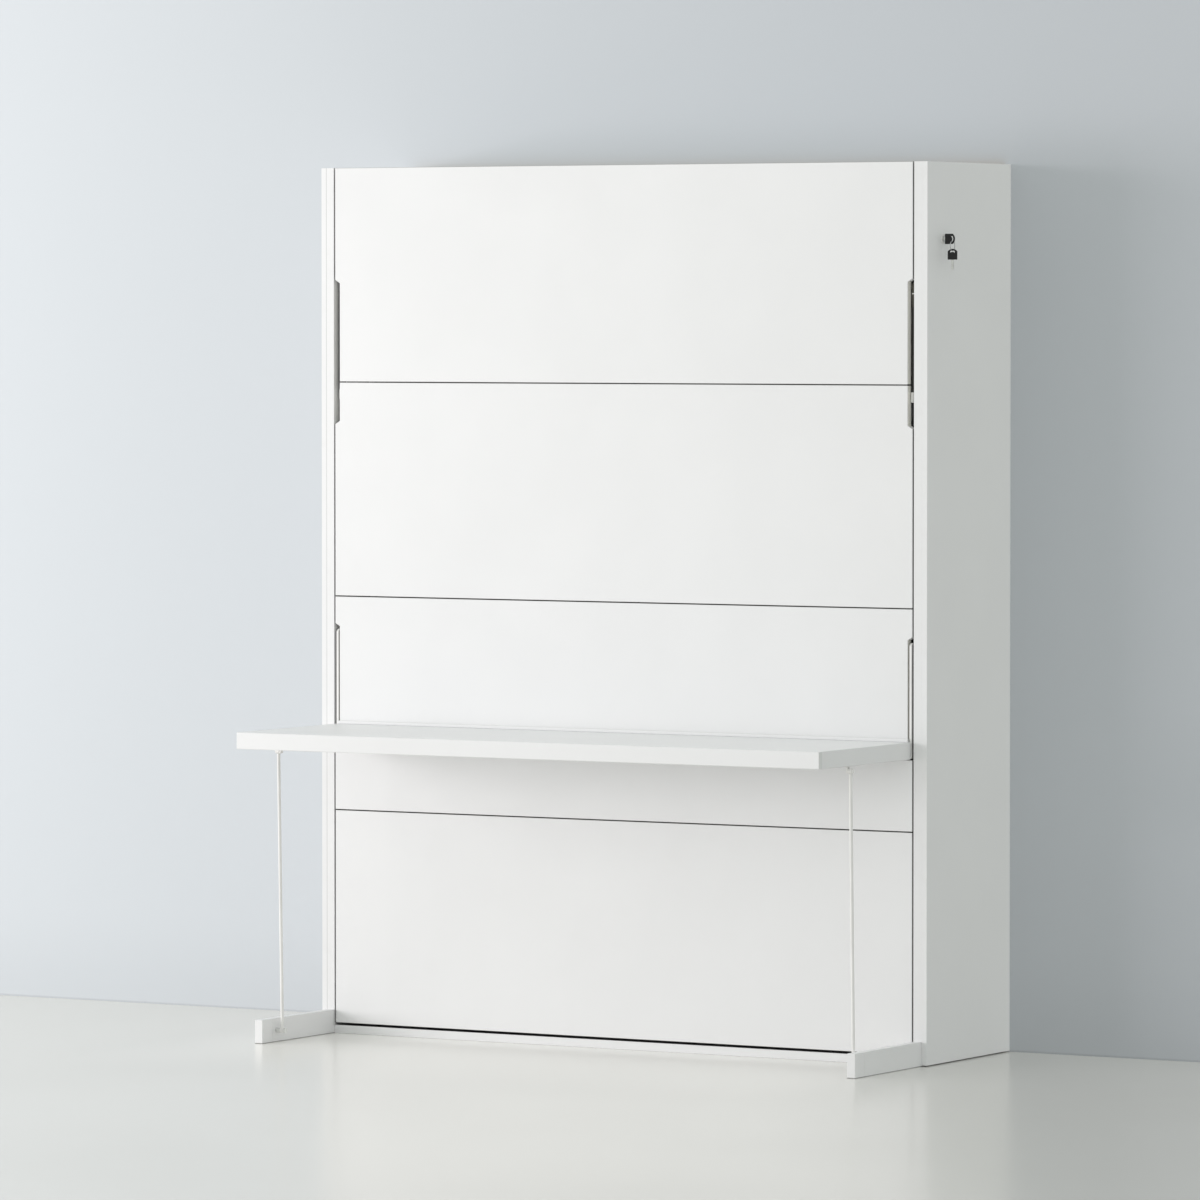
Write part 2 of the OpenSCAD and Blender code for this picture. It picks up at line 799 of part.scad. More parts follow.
// Pins on the side rails that carry the legs
module leg_pins() {
    color("dimgray") both() {
        slab([frame_x, frame_x + bracket_t], [board_t + 0.5, frame_y - 4], around(leg_pin_z, bracket_l / 2));
        bar_x(leg_pin_d / 2, [frame_x - tube_t, leg_x[1] + cap_t], leg_pin);
        bar_x(leg_pin_d / 2 + 1, [frame_x + bracket_t, leg_x[0] - soft_gap], leg_pin);
        bar_x(leg_pin_d / 2 + 1.5, [leg_x[1] + soft_gap, leg_x[1] + cap_t], leg_pin);
    }
}

// Hook on the right-hand rail that the lock's cam holds
module lock_strike() {
    low = lock_z + plug_d / 2 + strike_rise;
    z = [low, low + strike_h];
    back = lock_y + plug_d / 2 + strike_gap;
    color("dimgray") {
        slab([frame_x, frame_x + bracket_t], [board_t + 4, back + bracket_t], z);
        slab([frame_x, inner_x - 5], [back, back + bracket_t], z);
    }
}

// ---- Desk ----

tongue_x = [arm_x - arm_t - tongue_t, arm_x - arm_t];
tongue_z = desk_h - desk_t + tongue_wall;

module desk_panel() {
    color("white") difference() {
        slab([end_lip_t - desk_w / 2, desk_w / 2 - end_lip_t], [front_lip_t - desk_reach, -face_gap],
             [desk_h - desk_t, desk_h]);
        both() slab([tongue_x[0], desk_w / 2], [-tongue_l, 0], [tongue_z, desk_h - tongue_wall]);
    }
}

module desk_front_lipping() {
    color("white") slab([-desk_w / 2, desk_w / 2], [-desk_reach, front_lip_t - desk_reach],
                        [desk_h - desk_t, desk_h]);
}

module desk_end_lippings() {
    color("white") both()
        slab([desk_w / 2 - end_lip_t, desk_w / 2], [front_lip_t - desk_reach, -face_gap],
             [desk_h - desk_t, desk_h]);
}

module desk_rear_lip() {
    color("white") slab(around(0, desk_w / 2 - rear_lip_inset), [-face_gap - rear_lip_t, -face_gap],
                        [desk_h, desk_h + rear_lip_h]);
}

// Flat bars that hang from the bed and carry the desk
module desk_arms() {
    color("white") both() difference() {
        sheet_x([arm_x - arm_t, arm_x]) polygon([
            [face_gap, desk_h - desk_t + arm_gap],
            [face_gap + arm_w, desk_h - desk_t + arm_gap],
            [face_gap + arm_w, arm_top - arm_chamfer],
            [face_gap + arm_w - arm_chamfer, arm_top],
            [face_gap + arm_chamfer, arm_top],
            [face_gap, arm_top - arm_chamfer]
        ]);
        bar_x(arm_pin_d / 2 + run, [arm_x - arm_t - cut, arm_x + cut], arm_pivot);
    }
}

// Steel tongues from the arms into the ends of the desk, each with two bolts
module arm_tongues() {
    color("dimgray") both() {
        slab(tongue_x, [-tongue_l, arm_w - arm_gap], [tongue_z, desk_h - tongue_wall]);
        for (y = [12, 30])
            bar_x(4, [arm_x, arm_x + bolt_head_h], [y, desk_h - desk_t / 2]);
    }
}

// Hangers under the desk for the rods' upper eyes
module rod_hangers() {
    ear_x = rod_x - eye_w / 2 - 0.5;
    cap_x = rod_x + eye_w / 2 + 0.5;
    under = desk_h - desk_t;
    color("silver") both() {
        slab([ear_x - hanger_l, ear_x], around(desk_pin[0], hanger_w / 2), [under - bolt_head_h, under]);
        slab([ear_x - bracket_t, ear_x], around(desk_pin[0], ear_w / 2), [desk_pin[1] - ear_under, under]);
        bar_x(rod_d / 2, [ear_x, cap_x], desk_pin);
        bar_x(rod_d / 2 + 1.5, [cap_x, cap_x + cap_t], desk_pin);
    }
}

// ---- Rods ----

module rod() {
    tilt = atan2(link_lean, rise);
    reach = sqrt(rise * rise + link_lean * link_lean);
    difference() {
        union() {
            translate([rod_x, foot_pin[0], foot_pin[1]]) rotate([tilt, 0, 0]) cylinder(d = rod_d, h = reach);
            for (p = [foot_pin, desk_pin])
                bar_x(eye_r, [rod_x - eye_w / 2, rod_x + eye_w / 2], p);
        }
        for (p = [foot_pin, desk_pin])
            bar_x(rod_d / 2 + run, [rod_x - eye_w / 2 - cut, rod_x + eye_w / 2 + cut], p);
    }
}

module rod_left() {
    color("white") mirror([1, 0, 0]) rod();
}

module rod_right() {
    color("white") rod();
}

// ---- Legs ----

module leg() {
    foot_z = leg_pin_z - leg_l;
    difference() {
        sheet_x(leg_x) union() {
            translate(leg_pin) circle(d = leg_w);
            translate([leg_pin_y - leg_w / 2, foot_z + leg_pad_h]) square([leg_w, leg_l - leg_pad_h]);
        }
        bar_x(leg_pin_d / 2 + run, [leg_x[0] - cut, leg_x[1] + cut], leg_pin);
    }
    slab([leg_x[0] - pad_over, leg_x[1]], around(leg_pin_y, pad_w / 2), [foot_z, foot_z + leg_pad_h]);
}

module leg_left() {
    color("gray") mirror([1, 0, 0]) leg();
}

module leg_right() {
    color("gray") leg();
}

// ---- Gas springs ----

// The cylinder hangs from the upper stud, drawn straight down and then tilted
module gas_cylinder() {
    translate([spring_x, spring_top[0], spring_top[1]]) rotate([spring_tilt, 0, 0]) difference() {
        union() {
            rotate([0, 90, 0]) cylinder(r = spring_eye_r, h = spring_eye_w, center = true);
            translate([0, 0, -spring_end]) cylinder(d = spring_d / 2, h = spring_end - 4);
            translate([0, 0, -cylinder_l]) cylinder(d = spring_d, h = cylinder_l - spring_end + 2);
        }
        rotate([0, 90, 0]) cylinder(r = stud_d / 2 + run, h = spring_eye_w + cut, center = true);
        translate([0, 0, -cylinder_l - cut]) cylinder(d = piston_d + 0.4, h = 20);
        translate([0, 0, -cylinder_l + 10]) cylinder(d = spring_d - 4, h = cylinder_l - spring_end - 14);
    }
}

// The piston rod stands on the lower stud, on the same line
module gas_piston() {
    translate([spring_x, spring_low[0], spring_low[1]]) rotate([spring_tilt, 0, 0]) difference() {
        union() {
            rotate([0, 90, 0]) cylinder(r = spring_eye_r, h = spring_eye_w, center = true);
            cylinder(d = piston_d, h = piston_l);
            translate([0, 0, piston_l - 8]) cylinder(d = spring_d - 5, h = 8);
        }
        rotate([0, 90, 0]) cylinder(r = stud_d / 2 + run, h = spring_eye_w + cut, center = true);
    }
}

module gas_cylinder_left() {
    color("dimgray") mirror([1, 0, 0]) gas_cylinder();
}

module gas_cylinder_right() {
    color("dimgray") gas_cylinder();
}

module gas_piston_left() {
    color("silver") mirror([1, 0, 0]) gas_piston();
}

module gas_piston_right() {
    color("silver") gas_piston();
}

// ---- Lock ----

cam_x = [inner_x - nut_t - 0.5 - cam_t, inner_x - nut_t - 0.5];

// Plug with its keyway, and the cam on its inner end
module lock_plug() {
    color("silver") {
        difference() {
            bar_x(plug_d / 2, [cam_x[1], outer_x + 2.5], lock_axis);
            slab([outer_x - 22, outer_x + 3.5], around(lock_y, blade_t / 2), around(lock_z, blade_h / 2));
        }
        sheet_x(cam_x) union() {
            translate(lock_axis) circle(d = plug_d);
            translate([lock_y - cam_l, lock_z - plug_d / 2]) square([cam_l, plug_d]);
        }
    }
}

module key_blade() {
    color("silver")
        slab([outer_x - 20, bow_x], around(lock_y, blade_t / 2), around(lock_z, blade_h / 2));
}

// Outline of a bow that points along the first axis from its square end, with the slot for the ring
module bow_outline() {
    difference() {
        intersection() {
            translate([0, -bow_w / 2]) square([bow_l, bow_w]);
            union() {
                translate([0, -bow_w / 2]) square([bow_l - bow_r, bow_w]);
                translate([bow_l - bow_r, 0]) circle(r = bow_r);
            }
        }
        intersection() {
            translate([bow_l - bow_r, 0]) difference() {
                circle(r = bow_r - bow_rim);
                circle(r = bow_r - bow_rim - slot_w);
            }
            translate([bow_l - bow_r, -slot_l / 2]) square([bow_r, slot_l]);
        }
    }
}

module key_bow() {
    color("black") sheet_y(around(lock_y, bow_t / 2)) translate([bow_x, lock_z]) bow_outline();
}

module key_ring() {
    color("silver") translate([ring_x, lock_y, ring_z]) rotate([0, 90, 0])
        rotate_extrude() translate([ring_r, 0]) circle(r = wire_r, $fn = 16);
}

// Bow of the second key, which hangs from the ring
module spare_bow() {
    color("black") sheet_y(around(lock_y, bow_t / 2))
        translate([ring_x, spare_top - bow_l]) rotate(90) bow_outline();
}

module spare_blade() {
    z = spare_top - bow_l;
    color("silver") slab(around(ring_x, blade_h / 2), around(lock_y, blade_t / 2), [z - blade_l, z]);
}

side_panel_left();
side_panel_right();
upright_left();
upright_right();
foot_beams();
foot_caps();
foot_pins();
top_board();
base_rail();
back_panels();
back_rail_top();
back_rail_middle();
back_rail_bottom();
pivot_plates();
bracket_screws();
spring_studs();
stop_blocks();
stop_bumpers();
lock_housing();
front_board_top();
front_board_upper();
front_board_lower();
front_board_bottom();
side_rail_left();
side_rail_right();
end_rails();
cross_rails();
centre_rail();
slats();
slat_holders();
mattress_stop();
mattress();
mattress_straps();
spring_cranks();
pivot_bushes();
arm_pins();
leg_pins();
lock_strike();
board_bolts();
desk_panel();
desk_front_lipping();
desk_end_lippings();
desk_rear_lip();
desk_arms();
arm_tongues();
rod_hangers();
rod_left();
rod_right();
leg_left();
leg_right();
gas_cylinder_left();
gas_cylinder_right();
gas_piston_left();
gas_piston_right();
lock_plug();
key_blade();
key_bow();
key_ring();
spare_bow();
spare_blade();
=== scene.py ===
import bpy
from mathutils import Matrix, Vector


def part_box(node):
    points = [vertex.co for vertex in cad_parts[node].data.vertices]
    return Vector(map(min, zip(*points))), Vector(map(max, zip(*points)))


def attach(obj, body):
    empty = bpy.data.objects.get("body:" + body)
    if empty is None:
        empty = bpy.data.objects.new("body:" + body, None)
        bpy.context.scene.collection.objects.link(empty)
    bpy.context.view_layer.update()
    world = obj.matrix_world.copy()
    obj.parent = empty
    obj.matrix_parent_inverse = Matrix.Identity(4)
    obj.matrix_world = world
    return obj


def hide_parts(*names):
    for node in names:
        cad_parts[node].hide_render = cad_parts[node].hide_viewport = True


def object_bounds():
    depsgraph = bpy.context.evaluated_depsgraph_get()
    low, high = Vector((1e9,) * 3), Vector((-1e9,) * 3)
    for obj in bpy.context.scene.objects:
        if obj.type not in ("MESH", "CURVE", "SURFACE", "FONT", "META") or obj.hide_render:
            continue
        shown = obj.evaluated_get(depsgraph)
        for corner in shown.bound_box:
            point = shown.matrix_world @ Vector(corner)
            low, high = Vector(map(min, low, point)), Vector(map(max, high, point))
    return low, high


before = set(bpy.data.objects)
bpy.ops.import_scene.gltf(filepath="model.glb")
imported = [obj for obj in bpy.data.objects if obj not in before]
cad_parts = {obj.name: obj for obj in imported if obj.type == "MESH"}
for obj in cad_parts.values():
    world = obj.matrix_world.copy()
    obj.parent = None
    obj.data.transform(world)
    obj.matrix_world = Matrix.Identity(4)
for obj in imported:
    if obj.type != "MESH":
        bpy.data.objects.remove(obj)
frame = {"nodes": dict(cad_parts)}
cad_box = [list(corner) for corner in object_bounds()]

import math

import bmesh
import bpy
from bpy.props import FloatProperty, FloatVectorProperty, IntProperty, PointerProperty
from mathutils import Matrix, Vector

bl_info = {
    "name": "Wall Bed with Desk",
    "version": (1, 0, 0),
    "blender": (4, 5, 0),
    "location": "View3D > Sidebar > Wall Bed",
    "description": "Finishes, mattress, straps and keys of a wall bed whose desk stays level",
    "category": "Object",
}

TOUCH = 1e-5  # two points this close are one
SHARP = math.radians(30)  # an edge that turns by more than this is rounded
QUARTER = math.pi / 2
BLACK = (0.0, 0.0, 0.0)
X, Y, Z = range(3)


# ---- Shader maths ----

class Signal:
    """A value inside a finish. Python's operators on it add Math nodes."""

    def __init__(self, finish, socket):
        self.finish = finish
        self.socket = socket

    def math(self, operation, *values):
        return self.finish.node("Math", {"operation": operation}, dict(enumerate(values)))

    def __add__(self, other):
        return self.math("ADD", self, other)

    def __radd__(self, other):
        return self.math("ADD", other, self)

    def __sub__(self, other):
        return self.math("SUBTRACT", self, other)

    def __rsub__(self, other):
        return self.math("SUBTRACT", other, self)

    def __mul__(self, other):
        return self.math("MULTIPLY", self, other)

    def __rmul__(self, other):
        return self.math("MULTIPLY", other, self)

    def __abs__(self):
        return self.math("ABSOLUTE", self)

    def least(self, other):
        return self.math("MINIMUM", self, other)

    def most(self, other):
        return self.math("MAXIMUM", self, other)

    def sine(self):
        return self.math("SINE", self)

    def waves(self, pitch):
        """Waves from -1 to 1, a pitch apart."""
        return (self * (math.tau / pitch)).sine()

    def off_line(self, pitch):
        """Distance to the nearest of a row of lines that lie a pitch apart."""
        return self.math("PINGPONG", self, pitch / 2)

    def fade(self, start, end):
        """Smooth step: 0 at start, 1 at end."""
        return self.finish.node("MapRange", {"interpolation_type": "SMOOTHSTEP"},
                                {"Value": self, "From Min": start, "From Max": end})


class Finish:
    """One material: its shader, and the nodes that feed it."""

    def __init__(self, name, **constants):
        self.material = bpy.data.materials.new(name)
        self.material.use_nodes = True
        self.tree = self.material.node_tree
        self.shader = next(n for n in self.tree.nodes if n.type == "BSDF_PRINCIPLED")
        self.object_point = None
        for socket, value in constants.items():
            self.shader.inputs[socket.replace("_", " ").title().replace("Ior", "IOR")].default_value = value

    def node(self, kind, settings=None, inputs=None, output=0):
        """Adds a node: its type, its settings, then values or links of its sockets."""
        node = self.tree.nodes.new("ShaderNode" + kind)
        for key, value in (settings or {}).items():
            setattr(node, key, value)
        for key, value in (inputs or {}).items():
            if isinstance(value, Signal):
                self.tree.links.new(value.socket, node.inputs[key])
            else:
                node.inputs[key].default_value = value
        return Signal(self, node.outputs[output])

    def point(self):
        """The place on the object, in metres."""
        if self.object_point is None:
            self.object_point = self.node("TexCoord", output="Object")
        return self.object_point

    def split(self, vector):
        """The three parts of a vector."""
        first = self.node("SeparateXYZ", None, {0: vector})
        return [Signal(self, s) for s in first.socket.node.outputs]

    def noise(self, scale, detail=2.0, rough=0.5, stretch=None):
        """Cloudy values around 0.5; scale counts features in a metre."""
        where = self.point()
        if stretch:
            where = self.node("Mapping", None, {"Vector": where, "Scale": stretch})
        return self.node("TexNoise", None,
                         {"Vector": where, "Scale": scale, "Detail": detail, "Roughness": rough})

    def mix(self, factor, first, second):
        """Two colours in proportion."""
        paint = [(*c, 1.0) if isinstance(c, tuple) else c for c in (first, second)]
        return self.node("Mix", {"data_type": "RGBA"}, {0: factor, 6: paint[0], 7: paint[1]}, 2)

    def bump(self, height, metres):
        """Relief of a height map from 0 to 1 that is this many metres tall."""
        return self.node("Bump", None, {"Height": height, "Distance": metres, "Strength": 1.0})

    def feed(self, **signals):
        """Links signals to the shader's sockets, and returns the material."""
        for socket, signal in signals.items():
            self.tree.links.new(signal.socket, self.shader.inputs[socket.replace("_", " ").title()])
        return self.material


def tint(colour, factor, lift=0.0):
    """A colour made lighter or darker."""
    return tuple(min(1.0, c * factor + lift) for c in colour)


# ---- Sizes and colours that a user may change ----

def colour_property(name, description, default):
    return FloatVectorProperty(name=name, description=description, default=default, size=3,
                               min=0.0, max=1.0, subtype="COLOR")


def length_property(name, description, default):
    return FloatProperty(name=name, description=description, default=default, min=0.0,
                         subtype="DISTANCE", unit="LENGTH")


class BoardSettings(bpy.types.PropertyGroup):
    face: colour_property("Face", "Colour of the white boards", (0.862, 0.866, 0.872))
    strip: length_property("Edge strip", "Thickness of the strip glued round a board", 0.0010)
    timber: colour_property("Timber", "Colour of the raw rails and slats", (0.62, 0.44, 0.27))


class MetalSettings(bpy.types.PropertyGroup):
    frame: colour_property("Bed frame", "Powder coat of the steel bed frame", (0.30, 0.31, 0.32))
    white: colour_property("Desk arms and rods", "Powder coat of the white steel", (0.91, 0.905, 0.89))
    legs: colour_property("Legs", "Powder coat of the legs", (0.022, 0.020, 0.019))
    pads: colour_property("Pads", "Plastic pads on the legs' ends", (0.82, 0.82, 0.80))


class MattressSettings(bpy.types.PropertyGroup):
    ticking: colour_property("Ticking", "Colour of the quilted fabric", (0.80, 0.79, 0.76))
    border: colour_property("Border", "Colour of the fabric round the sides", (0.55, 0.57, 0.59))
    quilt: length_property("Quilting", "Side of one quilted diamond", 0.160)
    rim: length_property("Rim", "Distance of the seams from the mattress's outline", 0.016)
    corner: length_property("Corner", "Radius of the mattress's corners", 0.055)
    piping: length_property("Piping", "Radius of the piping on the seams", 0.0045)


class StrapSettings(bpy.types.PropertyGroup):
    webbing: colour_property("Webbing", "Colour of the straps", (0.045, 0.047, 0.052))
    thickness: length_property("Thickness", "Thickness of the webbing", 0.0018)
    buckle: length_property("Buckle", "Distance of the buckles from the bed's middle", 0.42)


class KeySettings(bpy.types.PropertyGroup):
    bow: colour_property("Bow", "Colour of the keys' plastic", (0.012, 0.012, 0.013))
    cuts: IntProperty(name="Cuts", description="Number of cuts in a key's blade", default=5, min=1, max=8)


class StageSettings(bpy.types.PropertyGroup):
    world: FloatProperty(name="Ambient", description="Strength of the light from all around", default=0.757)
    lamp: FloatProperty(name="Lamps", description="Power of the soft lamps at the front left",
                        default=416.0, subtype="POWER")
    floor: colour_property("Floor", "Colour of the floor", (0.84, 0.83, 0.80))


# ---- Helpers for pieces ----

def add_object(name, data):
    """Makes an object and puts it in the scene."""
    thing = bpy.data.objects.new(name, data)
    bpy.context.scene.collection.objects.link(thing)
    return thing


def mesh_of(name, bm):
    """Makes a mesh from a bmesh, and frees the bmesh."""
    mesh = bpy.data.meshes.new(name)
    bm.to_mesh(mesh)
    bm.free()
    return mesh


def new_piece(name, mesh, body, slot, *finishes):
    """Makes a piece from a mesh with these finishes; it rides on a body. The slot is not used."""
    piece = add_object(name, mesh)
    for material in finishes:
        mesh.materials.append(material)
    mesh.shade_smooth()
    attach(piece, body)
    return piece


def soften(piece, width, segments=2):
    """Rounds a piece's sharp edges, as a real one's are."""
    bevel = piece.modifiers.new("Edges", "BEVEL")
    bevel.width = width
    bevel.segments = segments
    bevel.limit_method = "ANGLE"
    bevel.angle_limit = SHARP
    bevel.use_clamp_overlap = True
    bevel.miter_outer = "MITER_ARC"
    flow = piece.modifiers.new("Shading", "WEIGHTED_NORMAL")
    flow.keep_sharp = True


def finish_node(name, material, width, segments=2):
    """Gives a CAD node its material and its softened edges."""
    node = frame["nodes"][name]
    node.data.materials.clear()
    node.data.materials.append(material)
    weld = node.modifiers.new("Weld", "WELD")
    weld.merge_threshold = TOUCH
    soften(node, width, segments)


def block(bm, size, centre):
    """Adds a box to a bmesh."""
    verts = bmesh.ops.create_cube(bm, size=1.0)["verts"]
    bmesh.ops.scale(bm, vec=size, verts=verts)
    bmesh.ops.translate(bm, vec=centre, verts=verts)


def cut_through(bm, point, normal):
    """Adds edges where a plane meets the mesh."""
    bmesh.ops.bisect_plane(bm, geom=bm.verts[:] + bm.edges[:] + bm.faces[:], dist=TOUCH,
                           plane_co=point, plane_no=normal)


# ---- Finishes ----

def board_finish(name, colour, thin, strip, gloss):
    """White melamine: a faint cloud in the tone, fine texture, glued edge strips and a little dirt."""
    f = Finish(name + "_white", specular_ior_level=0.45)
    low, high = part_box(name)
    place = f.split(f.point())
    edge = None
    for axis in (a for a in (X, Y, Z) if a != thin):
        away = (high[axis] - low[axis]) / 2 - abs(place[axis] - (high[axis] + low[axis]) / 2)
        edge = away if edge is None else edge.least(away)
    glue_width, dirt_width = 0.00025, 0.006
    seam = 1 - abs(edge - strip).fade(0.0, glue_width)
    cloud = f.noise(3.5, 3.0)
    dirt = (1 - edge.fade(0.0, dirt_width)) * f.noise(22.0, 4.0).fade(0.48, 0.75)
    scuff = f.noise(5.0, 5.0, 0.65, (1.0, 1.0, 6.0)).fade(0.60, 0.78)
    tone = f.mix(cloud.fade(0.3, 0.7), colour, tint(colour, 0.982))
    tone = f.mix(dirt * 0.06, tone, (0.55, 0.54, 0.50))
    tone = f.mix(seam * 0.12, tone, (0.42, 0.42, 0.41))
    tone = board_marks(f, name, place, edge, low, high, tone)
    grain = f.noise(950.0, 2.0)
    rough = gloss + (cloud - 0.5) * 0.10 + scuff * 0.10 + (grain - 0.5) * 0.06
    relief = grain * 0.25 + (1 - seam) * 0.75
    return f.feed(base_color=tone, roughness=rough, normal=f.bump(relief, 0.00006))


def board_marks(f, name, place, edge, low, high, tone):
    """Painted shade where boards face each other across a gap, on the base rail's top and on the lipping's
    ends, painted light on the notches' walls, a painted contact shadow at the feet, and lines where boards
    join.
    """
    x, y, z = place
    # painted shade for the gaps between the boards
    gap_painted_shade = (0.15, 0.15, 0.14)
    if name.startswith("front_board"):
        inside = y.fade(0.0004, 0.0030)  # 0 on the front face, and 1 in the gap behind it
        seam = (z - low.z).least(high.z - z)
        # painted shade on the board's top and bottom edges, in the gaps
        tone = f.mix((1 - seam.fade(0.0003, 0.0009)) * 0.9, tone, gap_painted_shade)
        notch = high.x - 0.0125  # the walls at the inner side of the arms' notches
        notch_wall_painted_light = (abs(x).fade(notch - 0.0020, notch - 0.0005)
                 * (1 - abs(x).fade(notch + 0.0010, notch + 0.0025)))
        # painted light: the notch walls behind the front face get a lighter, warmer colour
        tone = f.mix(notch_wall_painted_light * inside, tone, (0.95, 0.94, 0.87))
        # painted shade on the board's edges behind its front face
        return f.mix((1 - edge.fade(0.0004, 0.0014)) * inside * 0.9, tone, gap_painted_shade)
    if name.startswith(("side_panel", "upright")):
        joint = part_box("side_panel_left")[1].x
        return f.mix((1 - abs(x - joint).fade(0.0004, 0.0010)) * 0.6, tone, (0.40, 0.40, 0.39))
    if name == "base_rail":
        shadow = z.fade(high.z - 0.0008, high.z - 0.0003) * y.fade(0.0006, 0.0040)
        return f.mix(shadow * 0.95, tone, (0.04, 0.04, 0.04))
    if name.startswith("foot"):
        # painted contact shadow along the foot's bottom edge
        contact_shadow = 1 - z.fade(0.0010, 0.0024)
        return f.mix(contact_shadow * 0.8, tone, (0.20, 0.20, 0.19))
    if name == "desk_front_lipping":
        # painted shade on the lipping's end faces
        end = abs(x).fade(high.x - 0.0006, high.x - 0.0002)
        return f.mix(end, tone, (0.77, 0.78, 0.775))
    return tone


def powder_finish(name, colour, gloss=0.42, sides=None):
    """Powder coat: orange-peel skin, faint speckle and handling marks. Sides are the x of a plate's two
    faces and the y of its front edge; behind that edge the faces get painted shade."""
    f = Finish(name, specular_ior_level=0.5)
    peel = f.noise(620.0, 2.0)
    cloud = f.noise(14.0, 4.0)
    speck = f.noise(2600.0, 1.0).fade(0.62, 0.72)
    tone = f.mix(cloud.fade(0.35, 0.7), colour, tint(colour, 0.93))
    tone = f.mix(speck * 0.10, tone, tint(colour, 1.3))
    if sides:
        near, far, front = sides
        x, y, _ = f.split(f.point())
        near_face_shade = 1 - abs(x).fade(near + 0.0003, near + 0.0008)
        far_face_shade = abs(x).fade(far - 0.0008, far - 0.0003)
        behind_edge = y.fade(front + 0.0008, front + 0.0020)
        # painted shade on the plate's two faces behind its front edge
        tone = f.mix(near_face_shade.most(far_face_shade) * behind_edge * 0.8, tone, tint(colour, 0.30))
    rough = gloss + (peel - 0.5) * 0.16 + (cloud - 0.5) * 0.16
    return f.feed(base_color=tone, roughness=rough, normal=f.bump(peel, 0.00009))


def leg_finish(colour, pad, low, high):
    """Powder coat on the leg's bar, an olive-brown upper end with a pale ring, and a pale plastic pad
    below.
    """
    f = Finish("leg_coat_and_pad", specular_ior_level=0.4)
    _, _, z = f.split(f.point())
    pad_top, ring = low + 0.024, high - 0.027
    peel = f.noise(620.0, 2.0)
    scuff = f.noise(40.0, 4.0).fade(0.55, 0.75)
    tone = f.mix(scuff * 0.15, colour, tint(colour, 2.2))
    tone = f.mix(z.fade(ring - 0.035, ring - 0.025) * 0.8, tone, (0.10, 0.095, 0.075))
    tone = f.mix(1 - abs(z - ring).fade(0.0012, 0.0018), tone, pad)
    plastic = f.mix(peel * 0.3, pad, tint(pad, 0.9))
    tone = f.mix(1 - z.fade(pad_top - 0.0002, pad_top + 0.0002), tone, plastic)
    return f.feed(base_color=tone, roughness=0.5 + (peel - 0.5) * 0.2, normal=f.bump(peel, 0.00008))


def plated_finish(name, colour=(0.60, 0.61, 0.62), gloss=0.30):
    """Plated metal: bright, with faint patches and fine scratches."""
    f = Finish(name, metallic=1.0)
    patch = f.noise(55.0, 4.0)
    scratch = f.noise(90.0, 3.0, 0.6, (1.0, 1.0, 14.0))
    tone = f.mix(patch.fade(0.35, 0.65), colour, tint(colour, 0.82))
    rough = gloss + (patch - 0.5) * 0.25 + (scratch - 0.5) * 0.12
    return f.feed(base_color=tone, roughness=rough, normal=f.bump(scratch, 0.00003))


def plastic_finish(name, colour, gloss=0.45, grain_height=0.00005):
    """Moulded plastic with a fine eroded grain."""
    f = Finish(name, specular_ior_level=0.45)
    grain = f.noise(1500.0, 3.0)
    rub = f.noise(130.0, 3.0).fade(0.55, 0.75)
    tone = f.mix(grain.fade(0.35, 0.7), colour, tint(colour, 0.85))
    tone = f.mix(rub * 0.10, tone, tint(colour, 1.0, 0.05))
    rough = gloss + (grain - 0.5) * 0.14 - rub * 0.06
    return f.feed(base_color=tone, roughness=rough, normal=f.bump(grain, grain_height))


def timber_finish(name, colour, ring):
    """Beech along X: wavy growth rings, pores and a tone of its own for each stick."""
    f = Finish(name, specular_ior_level=0.3)
    bend = f.noise(1.0, 3.0, 0.5, (0.9, ring, ring))
    rings = (bend * 70.0).sine() * 0.5 + 0.5
    pores = f.noise(1.0, 3.0, 0.7, (28.0, 900.0, 900.0))
    stick = f.noise(1.0, 0.0, 0.5, (0.15, 0.1, 6.7))
    tone = f.mix(rings * 0.35 + bend.fade(0.3, 0.7) * 0.30, colour, tint(colour, 0.66))
    tone = f.mix(stick.fade(0.35, 0.65) * 0.55, tone, tint(colour, 1.12, 0.03))
    tone = f.mix(pores.fade(0.60, 0.75) * 0.45, tone, tint(colour, 0.45))
    rough = 0.55 + (pores - 0.5) * 0.25 + rings * 0.05
    relief = pores * 0.7 + rings * 0.3
    return f.feed(base_color=tone, roughness=rough, normal=f.bump(relief, 0.00010))


def ticking_finish(colour, quilt, middle):
    """Knitted ticking: a rib of fine loops, thread along the quilting's lines and painted shade in the
    creases beside them.
    """
    f = Finish("ticking", specular_ior_level=0.2, sheen_weight=0.25, sheen_roughness=0.5)
    x, _, z = f.split(f.point())
    rise = ((x - middle.x) + (z - middle.z)) * math.sqrt(0.5)
    fall = ((x - middle.x) - (z - middle.z)) * math.sqrt(0.5)
    loops = x.waves(0.0026) * z.waves(0.0034) * 0.5 + 0.5
    line = rise.off_line(quilt).least(fall.off_line(quilt))
    stitch = 0.006
    stitch_gap = rise.off_line(stitch).most(fall.off_line(stitch)).fade(0.0019, 0.0024)
    thread = (1 - line.fade(0.0008, 0.0016)) * (1 - stitch_gap * 0.8)
    crease_painted_shade = 1 - line.fade(0.0, 0.012)
    fleck = f.noise(420.0, 2.0, 0.6)
    tone = f.mix(fleck.fade(0.35, 0.7) * 0.5 + loops * 0.2, colour, tint(colour, 0.90))
    # painted shade in the creases along the quilting's lines
    tone = f.mix(crease_painted_shade * 0.35, tone, tint(colour, 0.72))
    tone = f.mix(thread * 0.7, tone, tint(colour, 1.12))
    relief = loops * 0.35 + thread * 0.4 + fleck * 0.25
    return f.feed(base_color=tone, roughness=0.82 + (fleck - 0.5) * 0.2, normal=f.bump(relief, 0.0006))


